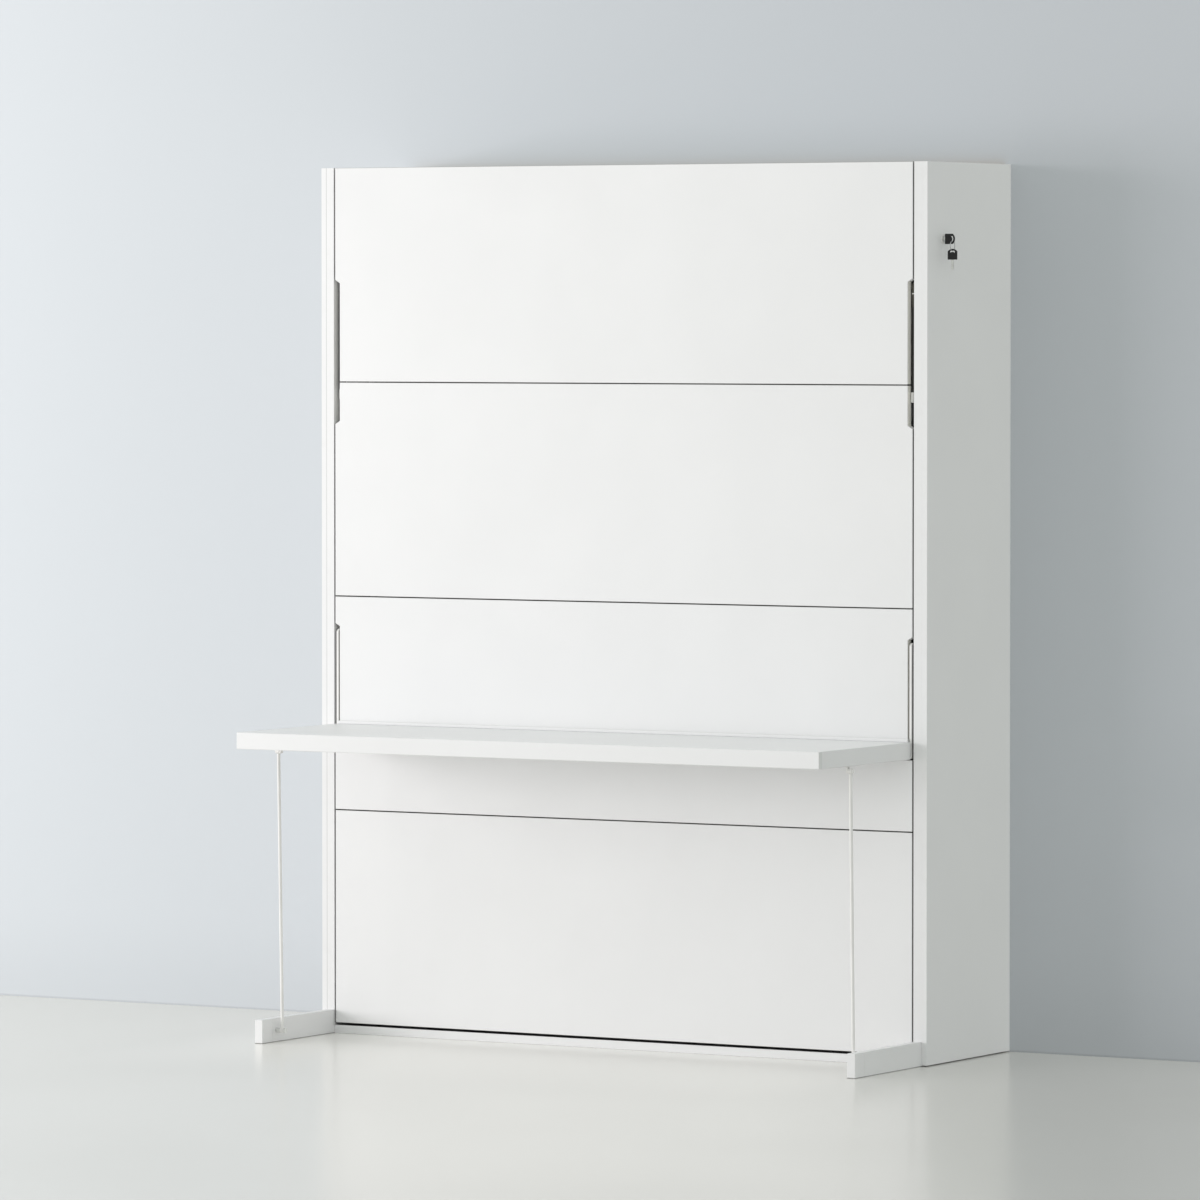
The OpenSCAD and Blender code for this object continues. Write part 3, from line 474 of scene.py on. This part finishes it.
def border_finish(colour):
    """Border fabric: ribs across the sides, with a melange tone."""
    f = Finish("border_fabric", specular_ior_level=0.2, sheen_weight=0.2, sheen_roughness=0.5)
    _, y, _ = f.split(f.point())
    ribs = y.waves(0.004) * 0.5 + 0.5
    melange = f.noise(260.0, 3.0, 0.7, (0.35, 2.0, 0.35))
    weave = f.noise(1300.0, 1.0)
    tone = f.mix(melange.fade(0.35, 0.65), colour, tint(colour, 0.72))
    tone = f.mix(ribs * 0.25, tone, tint(colour, 1.2))
    relief = ribs * 0.7 + weave * 0.3
    return f.feed(base_color=tone, roughness=0.85 + (weave - 0.5) * 0.15, normal=f.bump(relief, 0.0004))


def piping_finish(colour):
    """Twisted cord under a narrow tape."""
    f = Finish("piping", specular_ior_level=0.2, sheen_weight=0.2, sheen_roughness=0.5)
    x, y, z = f.split(f.point())
    twist = (x + y + z).waves(0.005) * 0.5 + 0.5
    fibre = f.noise(900.0, 2.0)
    tone = f.mix(twist * 0.5 + fibre * 0.3, colour, tint(colour, 0.75))
    return f.feed(base_color=tone, roughness=0.8 + (fibre - 0.5) * 0.2, normal=f.bump(twist, 0.0005))


def webbing_finish(colour):
    """Strap webbing, woven along its own length: U runs along the strap and V across, in metres."""
    f = Finish("webbing", specular_ior_level=0.35, sheen_weight=0.15, sheen_roughness=0.4)
    along, across, _ = f.split(f.node("TexCoord", output="UV"))
    weave = along.waves(0.0021) * across.waves(0.0026) * 0.5 + 0.5
    selvedge = abs(across).fade(0.0165, 0.0175)
    fuzz = f.noise(1900.0, 2.0)
    tone = f.mix(weave * 0.6 + fuzz * 0.3, tint(colour, 1.9), tint(colour, 0.7))
    tone = f.mix(selvedge * 0.5, tone, tint(colour, 0.6))
    return f.feed(base_color=tone, roughness=0.6 + (weave - 0.5) * 0.2, normal=f.bump(weave, 0.0003))


def floor_finish(colour):
    """Smooth pale floor, with a painted reflection of the cabinet in front of it and a painted shadow to
    its right.
    """
    f = Finish("floor", specular_ior_level=0.5)
    cloud = f.noise(0.8, 4.0, 0.55)
    x, y, _ = f.split(f.point())
    # painted reflection: the floor is lighter in front of the cabinet
    front = y.fade(-1.0, -0.2) * (1 - abs(x).fade(0.7, 1.1))
    # painted shadow: the floor is darker to the cabinet's right
    right = (x * 0.86 + y * 0.51).fade(0.25, 1.0)
    tone = f.mix(front, colour, tint(colour, 1.16))
    tone = f.mix(right, tone, tint(colour, 0.78))
    tone = f.mix(cloud.fade(0.35, 0.68) * 0.045, tone, BLACK)
    return f.feed(base_color=tone, roughness=0.17 + cloud * 0.08)


def wall_finish():
    """Matt paint, with painted shade to the right and near the floor, and a painted contact shadow at the
    floor. Its back is clear, so it hides nothing.
    """
    f = Finish("wall_paint", roughness=0.9, specular_ior_level=0.1)
    x, _, z = f.split(f.point())
    # painted shade: the paint darkens from left to right
    tone = f.mix((x + 3.0).fade(0.0, 4.4), (0.693, 0.729, 0.763), (0.587, 0.616, 0.652))
    # painted shade low on the wall to the cabinet's right
    tone = f.mix(x.fade(0.3, 1.4) * (1 - z.fade(0.0, 0.7)) * 0.06, tone, BLACK)
    # painted shade near the floor
    tone = f.mix((1 - z.fade(0.0, 0.25)) * 0.05, tone, BLACK)
    # painted contact shadow where the wall meets the floor
    tone = f.mix((1 - z.fade(0.002, 0.006)) * 0.14, tone, BLACK)
    paint = f.feed(base_color=tone)
    shown = f.node("MixShader", None, {0: f.node("NewGeometry", output="Backfacing"),
                                       1: Signal(f, f.shader.outputs[0]), 2: f.node("BsdfTransparent")})
    output = next(n for n in f.tree.nodes if n.type == "OUTPUT_MATERIAL")
    f.tree.links.new(shown.socket, output.inputs["Surface"])
    return paint


# ---- Boards, metal and plastic ----

FITTING_EDGE = 0.0003  # edge radius of the small fittings
BOARDS = {  # node: (the axis across its thickness, edge radius in metres, brightness beside the face)
    "side_panel_left": (X, 0.0005, 1.0), "side_panel_right": (X, 0.0005, 1.0),
    "upright_left": (X, 0.0005, 1.0), "upright_right": (X, 0.0005, 1.0),
    "foot_beams": (X, 0.0010, 1.0), "foot_caps": (X, 0.0010, 1.0),
    "top_board": (Z, 0.0008, 1.0), "base_rail": (Y, 0.0008, 1.0), "back_panels": (Y, 0.0005, 0.98),
    "front_board_top": (Y, 0.0008, 1.0), "front_board_upper": (Y, 0.0008, 1.0),
    "front_board_lower": (Y, 0.0008, 1.0), "front_board_bottom": (Y, 0.0008, 1.0),
    "mattress_stop": (Z, 0.0008, 0.98),
    "desk_panel": (Z, 0.0006, 1.0), "desk_front_lipping": (Y, 0.0015, 1.0),
    "desk_end_lippings": (X, 0.0012, 1.0), "desk_rear_lip": (Y, 0.0015, 1.0),
}
STEEL = {  # node: (coat, edge radius in metres, segments)
    "side_rail_left": ("frame", 0.0012, 3), "side_rail_right": ("frame", 0.0012, 3),
    "end_rails": ("frame", 0.0012, 3), "cross_rails": ("frame", 0.0012, 3),
    "centre_rail": ("frame", 0.0012, 3), "spring_cranks": ("frame", 0.0006, 2),
    "desk_arms": ("arms", 0.0008, 2), "rod_left": ("white", 0.0005, 2), "rod_right": ("white", 0.0005, 2),
    "stop_blocks": ("white", 0.0015, 2), "rod_hangers": ("white", FITTING_EDGE, 2),
    "lock_housing": ("white", FITTING_EDGE, 2),
    "leg_left": ("legs", 0.0008, 2), "leg_right": ("legs", 0.0008, 2),
}
ZINC = ("pivot_plates", "bracket_screws", "spring_studs", "arm_pins", "leg_pins", "lock_strike",
        "board_bolts", "arm_tongues", "key_ring")
NICKEL = ("foot_pins", "lock_plug")


class WALLBED_OT_boards(bpy.types.Operator):
    """Finishes the white boards and the raw timber"""
    bl_idname = "wallbed.boards"
    bl_label = "Boards and timber"

    def execute(self, context):
        boards = context.scene.wall_bed_boards
        timber = tuple(boards.timber)
        for name, (thin, radius, shade) in BOARDS.items():
            gloss = 0.30 if name == "foot_caps" else 0.40
            face = tint(tuple(boards.face), shade)
            finish_node(name, board_finish(name, face, thin, boards.strip, gloss), radius)
        rail = timber_finish("rail_timber", tint(timber, 1.05), 7.0)
        for name in ("back_rail_top", "back_rail_middle", "back_rail_bottom"):
            finish_node(name, rail, 0.0008)
        finish_node("slats", timber_finish("slat_timber", timber, 12.0), 0.0020, 3)
        return {"FINISHED"}


class WALLBED_OT_metal(bpy.types.Operator):
    """Finishes the steel frame, the linkage, the gas springs and the fittings"""
    bl_idname = "wallbed.metal"
    bl_label = "Metal"

    def execute(self, context):
        coats = context.scene.wall_bed_metal
        white = tuple(coats.white)
        low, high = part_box("leg_left")
        arm_faces = [abs(v.co.x) for v in frame["nodes"]["desk_arms"].data.vertices]
        arm_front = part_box("desk_arms")[0].y
        paint = {
            "frame": powder_finish("frame_coat", tuple(coats.frame)),
            "white": powder_finish("white_coat", white),
            "legs": leg_finish(tuple(coats.legs), tuple(coats.pads), low.z, high.z),
            "arms": powder_finish("arm_coat_painted_shade", white, sides=(min(arm_faces), max(arm_faces), arm_front)),
        }
        for name, (coat, radius, segments) in STEEL.items():
            finish_node(name, paint[coat], radius, segments)
        zinc = plated_finish("zinc_plate")
        for name in ZINC:
            finish_node(name, zinc, FITTING_EDGE)
        nickel = plated_finish("satin_nickel", (0.88, 0.885, 0.87), 0.45)
        for name in NICKEL:
            finish_node(name, nickel, FITTING_EDGE)
        tube = powder_finish("spring_coat", (0.05, 0.052, 0.055), 0.30)
        chrome = plated_finish("piston_chrome", (0.72, 0.73, 0.74), 0.14)
        for side in ("left", "right"):
            finish_node("gas_cylinder_" + side, tube, 0.0006)
            finish_node("gas_piston_" + side, chrome, 0.0005)
        return {"FINISHED"}


class WALLBED_OT_plastic(bpy.types.Operator):
    """Finishes the bushes, the slat holders and the rubber stops"""
    bl_idname = "wallbed.plastic"
    bl_label = "Plastic and rubber"

    def execute(self, context):
        black = plastic_finish("black_plastic", (0.018, 0.018, 0.019))
        finish_node("slat_holders", black, 0.0008)
        finish_node("pivot_bushes", black, FITTING_EDGE)
        rubber = plastic_finish("stop_rubber", (0.022, 0.021, 0.020), 0.75, 0.0001)
        finish_node("stop_bumpers", rubber, 0.0005)
        return {"FINISHED"}


# ---- Mattress ----

TICKING, BORDER = 0, 1  # material of the mattress's two large sides, and of the fabric round it
SIDE_ROWS = 6  # rows of faces between the two seams
QUILT_CUTS = 4  # cuts across one quilted diamond
FILL_FRAMES = 20


def mattress_shell(low, high, back, front, sizes):
    """A block with round corners, cut into faces along the quilting and up its sides."""
    middle = (low + high) / 2
    pitch = sizes.quilt / QUILT_CUTS
    bm = bmesh.new()
    block(bm, (high.x - low.x - 2 * sizes.rim, front - back, high.z - low.z - 2 * sizes.rim),
          (middle.x, (front + back) / 2, middle.z))
    corners = [e for e in bm.edges if abs(e.verts[0].co.y - e.verts[1].co.y) > TOUCH]
    bmesh.ops.bevel(bm, geom=corners, offset=sizes.corner, offset_type="OFFSET", segments=5, profile=0.5,
                    affect="EDGES", material=-1)
    for normal in (Vector((1, 0, 1)).normalized(), Vector((1, 0, -1)).normalized()):
        reach = int(max((v.co - middle).dot(normal) for v in bm.verts) / pitch)
        for k in range(-reach, reach + 1):
            cut_through(bm, middle + normal * k * pitch, normal)
    for k in range(1, SIDE_ROWS):
        cut_through(bm, Vector((0, back + (front - back) * k / SIDE_ROWS, 0)), Vector((0, 1, 0)))
    for face in bm.faces:
        face.material_index = TICKING if abs(face.normal.y) > 0.5 else BORDER
    return bm


def seams_and_lines(bm, middle, quilt):
    """The vertices on the two seams, and those on the quilting's lines."""
    seams, lines = set(), set()
    for vertex in bm.verts:
        panels = {f.material_index for f in vertex.link_faces}
        offset = vertex.co - middle
        steps = [(offset.x + s * offset.z) * math.sqrt(0.5) / quilt for s in (1, -1)]
        if panels == {TICKING, BORDER}:
            seams.add(vertex)
        elif panels == {TICKING} and any(abs(s - round(s)) < 0.01 for s in steps):
            lines.add(vertex)
    return seams, lines


def crease_edges(bm, seams, lines):
    """Keeps the seams sharp, and the quilting's lines half so."""
    crease = bm.edges.layers.float.new("crease_edge")
    for edge in bm.edges:
        if all(v in seams for v in edge.verts):
            edge[crease] = 1.0
        elif all(v in lines for v in edge.verts):
            run = (edge.verts[1].co - edge.verts[0].co).normalized()
            if abs(abs(run.x) - abs(run.z)) < 0.01:  # along a line, and not from one to the next
                edge[crease] = 0.5


def raise_panels(bm, middle, back, front, rim, seams, lines):
    """Crowns the quilted sides a little, and says how far each vertex may swell after that."""
    crown, line_crown = 0.006, 0.003
    front_swell, back_swell = 0.0088, 0.0052
    side_swell = rim - 0.003  # the sides stop 3 mm short of the mattress's outline
    limits = []
    for vertex in bm.verts:
        if vertex in seams:
            limits.append(0.0)
        elif vertex.co.y in (back, front) or abs(vertex.normal.y) > 0.5:
            side = 1 if vertex.co.y > middle.y else -1
            vertex.co.y += side * (line_crown if vertex in lines else crown)
            limits.append(0.0 if vertex in lines else (front_swell if side > 0 else back_swell))
        else:
            limits.append(side_swell)
    return limits


def rim_loop(verts):
    """The places of a ring of vertices, in order along their shared edges."""
    ring, found = [verts[0]], {verts[0]}
    members = set(verts)
    while True:
        following = [e.other_vert(ring[-1]) for e in ring[-1].link_edges]
        following = [v for v in following if v in members and v not in found]
        if not following:
            return [v.co.copy() for v in ring]
        ring.append(following[0])
        found.add(following[0])


def inflate(piece, pinned, limits):
    """Swells a closed piece under pressure. Pinned vertices stay, and none moves past its own limit."""
    scene = bpy.context.scene
    group = piece.vertex_groups.new(name="seams")
    group.add(pinned, 1.0, "REPLACE")
    cloth = piece.modifiers.new("Filling", "CLOTH")
    cloth.settings.vertex_group_mass = group.name
    cloth.settings.quality = 6
    cloth.settings.mass = 0.15
    cloth.settings.use_pressure = True
    cloth.settings.uniform_pressure_force = 4.0
    cloth.settings.effector_weights.gravity = 0.0
    cloth.point_cache.frame_start = 1
    cloth.point_cache.frame_end = FILL_FRAMES
    for step in range(1, FILL_FRAMES + 1):
        scene.frame_set(step)
    graph = bpy.context.evaluated_depsgraph_get()
    swollen = [v.co.copy() for v in piece.evaluated_get(graph).data.vertices]
    piece.modifiers.remove(cloth)
    piece.vertex_groups.remove(group)
    scene.frame_set(1)
    for vertex, end, limit in zip(piece.data.vertices, swollen, limits):
        move = end - vertex.co
        vertex.co = vertex.co + move * min(1.0, limit / max(move.length, TOUCH))


def piping_mesh(name, loops, radius):
    """A round cord along each loop of places."""
    cord = bpy.data.curves.new(name, "CURVE")
    cord.dimensions = "3D"
    cord.bevel_depth = radius
    cord.bevel_resolution = 2
    for loop in loops:
        spline = cord.splines.new("POLY")
        spline.points.add(len(loop) - 1)
        for point, place in zip(spline.points, loop):
            point.co = (*place, 1.0)
        spline.use_cyclic_u = True
    path = add_object(name, cord)
    mesh = bpy.data.meshes.new_from_object(path.evaluated_get(bpy.context.evaluated_depsgraph_get()))
    bpy.data.objects.remove(path)
    mesh.name = name
    mesh.materials.clear()
    return mesh


class WALLBED_OT_mattress(bpy.types.Operator):
    """Makes the quilted mattress, its border and its piping"""
    bl_idname = "wallbed.mattress"
    bl_label = "Mattress"

    def execute(self, context):
        sizes = context.scene.wall_bed_mattress
        low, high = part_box("mattress")
        middle = (low + high) / 2
        back, front = low.y + 0.012, high.y - sizes.rim  # the two seams
        bm = mattress_shell(low, high, back, front, sizes)
        seams, lines = seams_and_lines(bm, middle, sizes.quilt)
        crease_edges(bm, seams, lines)
        limits = raise_panels(bm, middle, back, front, sizes.rim, seams, lines)
        bm.verts.index_update()
        pinned = [v.index for v in bm.verts if v in seams or v in lines]
        loops = [rim_loop([v for v in bm.verts if v in seams and abs(v.co.y - y) < TOUCH])
                 for y in (back, front)]
        ticking = ticking_finish(tuple(sizes.ticking), sizes.quilt, middle)
        border = border_finish(tuple(sizes.border))
        mesh = mesh_of("mattress_cover", bm)
        piece = new_piece("mattress_cover", mesh, "bed", "ticking", ticking, border)
        inflate(piece, pinned, limits)
        rounding = piece.modifiers.new("Rounding", "SUBSURF")
        rounding.levels = rounding.render_levels = 2
        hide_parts("mattress")

        mesh = piping_mesh("mattress_piping", loops, sizes.piping)
        new_piece("mattress_piping", mesh, "bed", "ticking", piping_finish(tuple(sizes.border)))
        return {"FINISHED"}


# ---- Straps ----

BUCKLE_BARS = (  # place along the strap, width and height of each bar, in metres
    (-0.024, 0.006, 0.006),
    (-0.004, 0.004, 0.008),
    (0.024, 0.006, 0.006),
)


def slides(vector, count):
    """A straight move in equal steps."""
    return [Matrix.Translation(Vector(vector) / count)] * count


def turns(centre, angle, count):
    """A turn about an upright axis through a point, in equal steps."""
    centre = Matrix.Translation(centre)
    return [centre @ Matrix.Rotation(angle / count, 4, "Z") @ centre.inverted()] * count


def sweep(bm, start, moves):
    """Extrudes the edge between two vertices along a chain of moves, and returns all the vertices."""
    edges, made = [bm.edges.new(start)], list(start)
    for move in moves:
        new = bmesh.ops.extrude_edge_only(bm, edges=edges)["geom"]
        verts = [g for g in new if isinstance(g, bmesh.types.BMVert)]
        edges = [g for g in new if isinstance(g, bmesh.types.BMEdge) and all(v in verts for v in g.verts)]
        bmesh.ops.transform(bm, matrix=move, verts=verts)
        made.extend(verts)
    return made


def straps_mesh(rows, low, high, reach, top, half):
    """Bands from one side rail, over the mattress, to the other, with U along them and V across."""
    bend, fold = 0.045, 0.004  # radius over the mattress's edge, and where a band leaves the rail
    margin = 0.001  # a band is this much narrower at each edge than the space kept for it
    start_x, start_y = high.x - 0.0004, low.y + half
    moves = (slides((reach + fold - start_x, 0, 0), 1)
             + turns((reach + fold, start_y + fold, 0), -QUARTER, 5)
             + slides((0, top - bend - start_y - fold, 0), 4)
             + turns((reach - bend, top - bend, 0), QUARTER, 9)
             + slides((bend - reach, 0, 0), 30))
    bm = bmesh.new()
    for z0, z1 in rows:
        start = [bm.verts.new((start_x, start_y, z)) for z in (z0 + margin, z1 - margin)]
        made = sweep(bm, start, moves)
        edges = list({e for v in made for e in v.link_edges})
        faces = list({f for v in made for f in v.link_faces})
        bmesh.ops.mirror(bm, geom=made + edges + faces, merge_dist=TOUCH, axis="X")
    bmesh.ops.remove_doubles(bm, verts=bm.verts, dist=TOUCH)
    bmesh.ops.recalc_face_normals(bm, faces=bm.faces)
    uv = bm.loops.layers.uv.new("Weave")
    middles = [(z0 + z1) / 2 for z0, z1 in rows]
    for face in bm.faces:
        middle = min(middles, key=lambda z: abs(z - face.calc_center_median().z))
        for loop in face.loops:
            co = loop.vert.co
            along = abs(co.x) if co.y > top - bend else reach + (top - co.y)
            loop[uv].uv = (math.copysign(along, co.x), co.z - middle)
    return mesh_of("straps", bm)


def buckles_mesh(rows, x, top):
    """Three-bar slides on the bands."""
    length, height, side = 0.054, 0.006, 0.005  # of the two pieces that join the bars
    base = top + 0.0012
    bm = bmesh.new()
    for z0, z1 in rows:
        z = (z0 + z1) / 2
        for dx, width, rise in BUCKLE_BARS:
            block(bm, (width, rise, z1 - z0 + 2 * side), (x + dx, base + rise / 2, z))
        for end in (z0 - side / 2, z1 + side / 2):
            block(bm, (length, height, side), (x, base + height / 2, end))
    return mesh_of("strap_buckles", bm)


class WALLBED_OT_straps(bpy.types.Operator):
    """Makes the straps over the mattress, with their buckles"""
    bl_idname = "wallbed.straps"
    bl_label = "Straps"

    def execute(self, context):
        sizes = context.scene.wall_bed_straps
        low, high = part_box("mattress_straps")
        heights = sorted({round(v.co.z, 4) for v in frame["nodes"]["mattress_straps"].data.vertices})
        rows = list(zip(heights[::2], heights[1::2]))
        half = sizes.thickness / 2
        reach = high.x - 0.013  # the bands' run beside the mattress
        top = high.y - half  # and over it
        webbing = webbing_finish(tuple(sizes.webbing))
        mesh = straps_mesh(rows, low, high, reach, top, half)
        straps = new_piece("straps", mesh, "bed", "webbing", webbing)
        band = straps.modifiers.new("Thickness", "SOLIDIFY")
        band.thickness = sizes.thickness
        band.offset = 0.0
        soften(straps, 0.0003, 1)
        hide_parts("mattress_straps")

        plastic = plastic_finish("buckle_plastic", (0.020, 0.020, 0.021))
        mesh = buckles_mesh(rows, sizes.buckle, top)
        buckles = new_piece("strap_buckles", mesh, "bed", "black_plastic", plastic)
        soften(buckles, 0.0012)
        return {"FINISHED"}


# ---- Keys ----

KEYS = (  # piece, the node it replaces, body, and turn of its blade
    ("lock_key_blade", "key_blade", "lock_key", math.pi),
    ("spare_key_blade", "spare_blade", "spare_key", QUARTER),
)
CUT_DEPTHS = (0.0, 0.20, 0.0, 0.30, 0.0, 0.14, 0.0, 0.26, 0.0, 0.18, 0.1)  # parts of a blade's width
GROOVE = (0.10, 0.14, 0.26, 0.30)  # edges of the slopes and the floor of the groove, parts of the width
BLADE_STEPS = 16
BLADE_START = 0.3  # part of the length before the cuts


def blade_mesh(name, low, high, cuts, turn):
    """A flat blade with a groove on both faces, cuts along one edge and a tapered tip."""
    size = high - low
    length, width = max(size.x, size.z), min(size.x, size.z)
    bm = bmesh.new()
    block(bm, (length, size.y, width), (0, 0, 0))
    for k in range(1, BLADE_STEPS):
        cut_through(bm, Vector((length * (k / BLADE_STEPS - 0.5), 0, 0)), Vector((1, 0, 0)))
    for z in GROOVE:
        cut_through(bm, Vector((0, 0, width * z)), Vector((0, 0, 1)))
    for vertex in bm.verts:
        along, across = vertex.co.x / length + 0.5, vertex.co.z / width
        if GROOVE[0] + 0.02 < across < GROOVE[3] - 0.02:
            vertex.co.y *= 0.6
        if across < -0.4 and along > BLADE_START:
            step = int((along - BLADE_START) / (1 - BLADE_START) * cuts * 2)
            vertex.co.z += width * CUT_DEPTHS[step % len(CUT_DEPTHS)]
        if along > 0.99:
            vertex.co.z *= 0.35
    bmesh.ops.rotate(bm, cent=(0, 0, 0), matrix=Matrix.Rotation(turn, 3, "Y"), verts=bm.verts)
    bmesh.ops.translate(bm, vec=(low + high) / 2, verts=bm.verts)
    return mesh_of(name, bm)


class WALLBED_OT_keys(bpy.types.Operator):
    """Makes the cut blades of the two keys, and finishes their bows"""
    bl_idname = "wallbed.keys"
    bl_label = "Keys"

    def execute(self, context):
        sizes = context.scene.wall_bed_keys
        plastic = plastic_finish("bow_plastic", tuple(sizes.bow), 0.38)
        for name in ("key_bow", "spare_bow"):
            finish_node(name, plastic, 0.0006, 3)
        nickel = plated_finish("key_nickel", (0.86, 0.86, 0.83), 0.34)
        for name, node, body, turn in KEYS:
            mesh = blade_mesh(name, *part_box(node), sizes.cuts, turn)
            blade = new_piece(name, mesh, body, "zinc", nickel)
            soften(blade, 0.00015, 1)
            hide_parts(node)
        return {"FINISHED"}


# ---- Stage ----

STAGE_REACH = 20.0  # half the side of the floor and of the wall
AMBIENT = (0.969, 1.0, 0.969)  # colour of the light from all around
BACKDROP = (0.72, 0.75, 0.77)  # what the camera sees past the floor and the wall
LAMP_COLOUR = (1.0, 0.955, 0.980)
LAMP_AIM = (0, 0, 1.1)  # middle of the cabinet
LAMPS = (  # name, place, the two sides, and share of the power
    ("near_lamp", (-6.5, -3.5, 2.0), (4.0, 3.0), 0.33),
    ("far_lamp", (-8.0, -8.0, 1.5), (6.0, 3.0), 0.67),
)
CAMERA_PLACE = (8.9915, -15.3226, 1.7486)
CAMERA_TILT = math.radians(88.3577)  # 90 degrees would be level
CAMERA_TURN = math.radians(30.4508)
CAMERA_LENS = 224.774  # millimetres, on a sensor 36 mm wide
CAMERA_SHIFT = (-0.00946, -0.06)


def placed(name, data, place, turn):
    """Puts a lamp or a camera at a place, turned."""
    thing = add_object(name, data)
    thing.matrix_world = Matrix.Translation(place) @ turn.to_matrix().to_4x4()
    return thing


def sheet(name, material, turn, shift):
    """A flat square of the stage."""
    bm = bmesh.new()
    bmesh.ops.create_grid(bm, x_segments=1, y_segments=1, size=STAGE_REACH)
    bmesh.ops.rotate(bm, cent=(0, 0, 0), matrix=Matrix.Rotation(turn, 3, "X"), verts=bm.verts)
    bmesh.ops.translate(bm, vec=shift, verts=bm.verts)
    mesh = mesh_of(name, bm)
    mesh.materials.append(material)
    return add_object(name, mesh)


def studio_world(strength):
    """Light from all around, and a plain backdrop where the camera sees past the wall."""
    world = bpy.data.worlds.new("studio")
    world.use_nodes = True
    nodes, links = world.node_tree.nodes, world.node_tree.links
    light = next(n for n in nodes if n.type == "BACKGROUND")
    seen = nodes.new("ShaderNodeBackground")
    for node, colour, power in ((light, AMBIENT, strength), (seen, BACKDROP, 1.0)):
        node.inputs["Color"].default_value = (*colour, 1.0)
        node.inputs["Strength"].default_value = power
    rays, blend = nodes.new("ShaderNodeLightPath"), nodes.new("ShaderNodeMixShader")
    links.new(rays.outputs["Is Camera Ray"], blend.inputs[0])
    links.new(light.outputs[0], blend.inputs[1])
    links.new(seen.outputs[0], blend.inputs[2])
    links.new(blend.outputs[0], next(n for n in nodes if n.type == "OUTPUT_WORLD").inputs["Surface"])
    return world


class WALLBED_OT_stage(bpy.types.Operator):
    """Sets the floor, the wall, the light and the camera"""
    bl_idname = "wallbed.stage"
    bl_label = "Stage"

    def execute(self, context):
        scene = context.scene
        stage = scene.wall_bed_stage
        wall_y = cad_box[1][1] + 0.0005  # just behind the cabinet
        floor = sheet("floor", floor_finish(tuple(stage.floor)), 0.0, (0, 0, 0))
        wall = sheet("wall", wall_finish(), QUARTER, (0, wall_y, STAGE_REACH))
        wall.visible_diffuse = wall.visible_shadow = wall.visible_transmission = False
        scene.world = studio_world(stage.world)

        for name, place, sides, share in LAMPS:
            lamp = bpy.data.lights.new(name, "AREA")
            lamp.shape = "RECTANGLE"
            lamp.size, lamp.size_y = sides
            lamp.energy = stage.lamp * share
            lamp.color = LAMP_COLOUR
            placed(name, lamp, place, (Vector(LAMP_AIM) - Vector(place)).to_track_quat("-Z", "Y"))

        lens = bpy.data.cameras.new("camera")
        lens.sensor_width = 36.0
        lens.lens = CAMERA_LENS
        lens.shift_x, lens.shift_y = CAMERA_SHIFT
        lens.clip_end = 200.0
        turn = Matrix.Rotation(CAMERA_TURN, 4, "Z") @ Matrix.Rotation(CAMERA_TILT, 4, "X")
        scene.camera = placed("camera", lens, CAMERA_PLACE, turn.to_quaternion())
        scene.view_settings.view_transform = "Standard"
        return {"FINISHED"}


# ---- Add-on ----

class WALLBED_PT_sidebar(bpy.types.Panel):
    """Lists the steps that make the wall bed"""
    bl_idname = "WALLBED_PT_sidebar"
    bl_label = "Wall Bed"
    bl_space_type = "VIEW_3D"
    bl_region_type = "UI"
    bl_category = "Wall Bed"

    def draw(self, context):
        for step in STEPS:
            self.layout.operator(step.bl_idname)
        for name, group in SETTINGS.items():
            box = self.layout.box()
            for key in group.__annotations__:
                box.prop(getattr(context.scene, name), key)


STEPS = (
    WALLBED_OT_mattress, WALLBED_OT_straps, WALLBED_OT_boards, WALLBED_OT_metal, WALLBED_OT_plastic,
    WALLBED_OT_keys, WALLBED_OT_stage,
)
SETTINGS = {
    "wall_bed_boards": BoardSettings,
    "wall_bed_metal": MetalSettings,
    "wall_bed_mattress": MattressSettings,
    "wall_bed_straps": StrapSettings,
    "wall_bed_keys": KeySettings,
    "wall_bed_stage": StageSettings,
}


def register():
    for cls in (*SETTINGS.values(), *STEPS, WALLBED_PT_sidebar):
        bpy.utils.register_class(cls)
    for name, group in SETTINGS.items():
        setattr(bpy.types.Scene, name, PointerProperty(type=group))


def unregister():
    for name in SETTINGS:
        delattr(bpy.types.Scene, name)
    for cls in (WALLBED_PT_sidebar, *STEPS, *SETTINGS.values()):
        bpy.utils.unregister_class(cls)


def main():
    register()
    for step in STEPS:
        group, name = step.bl_idname.split(".")
        getattr(getattr(bpy.ops, group), name)()


if __name__ == "__main__":
    main()
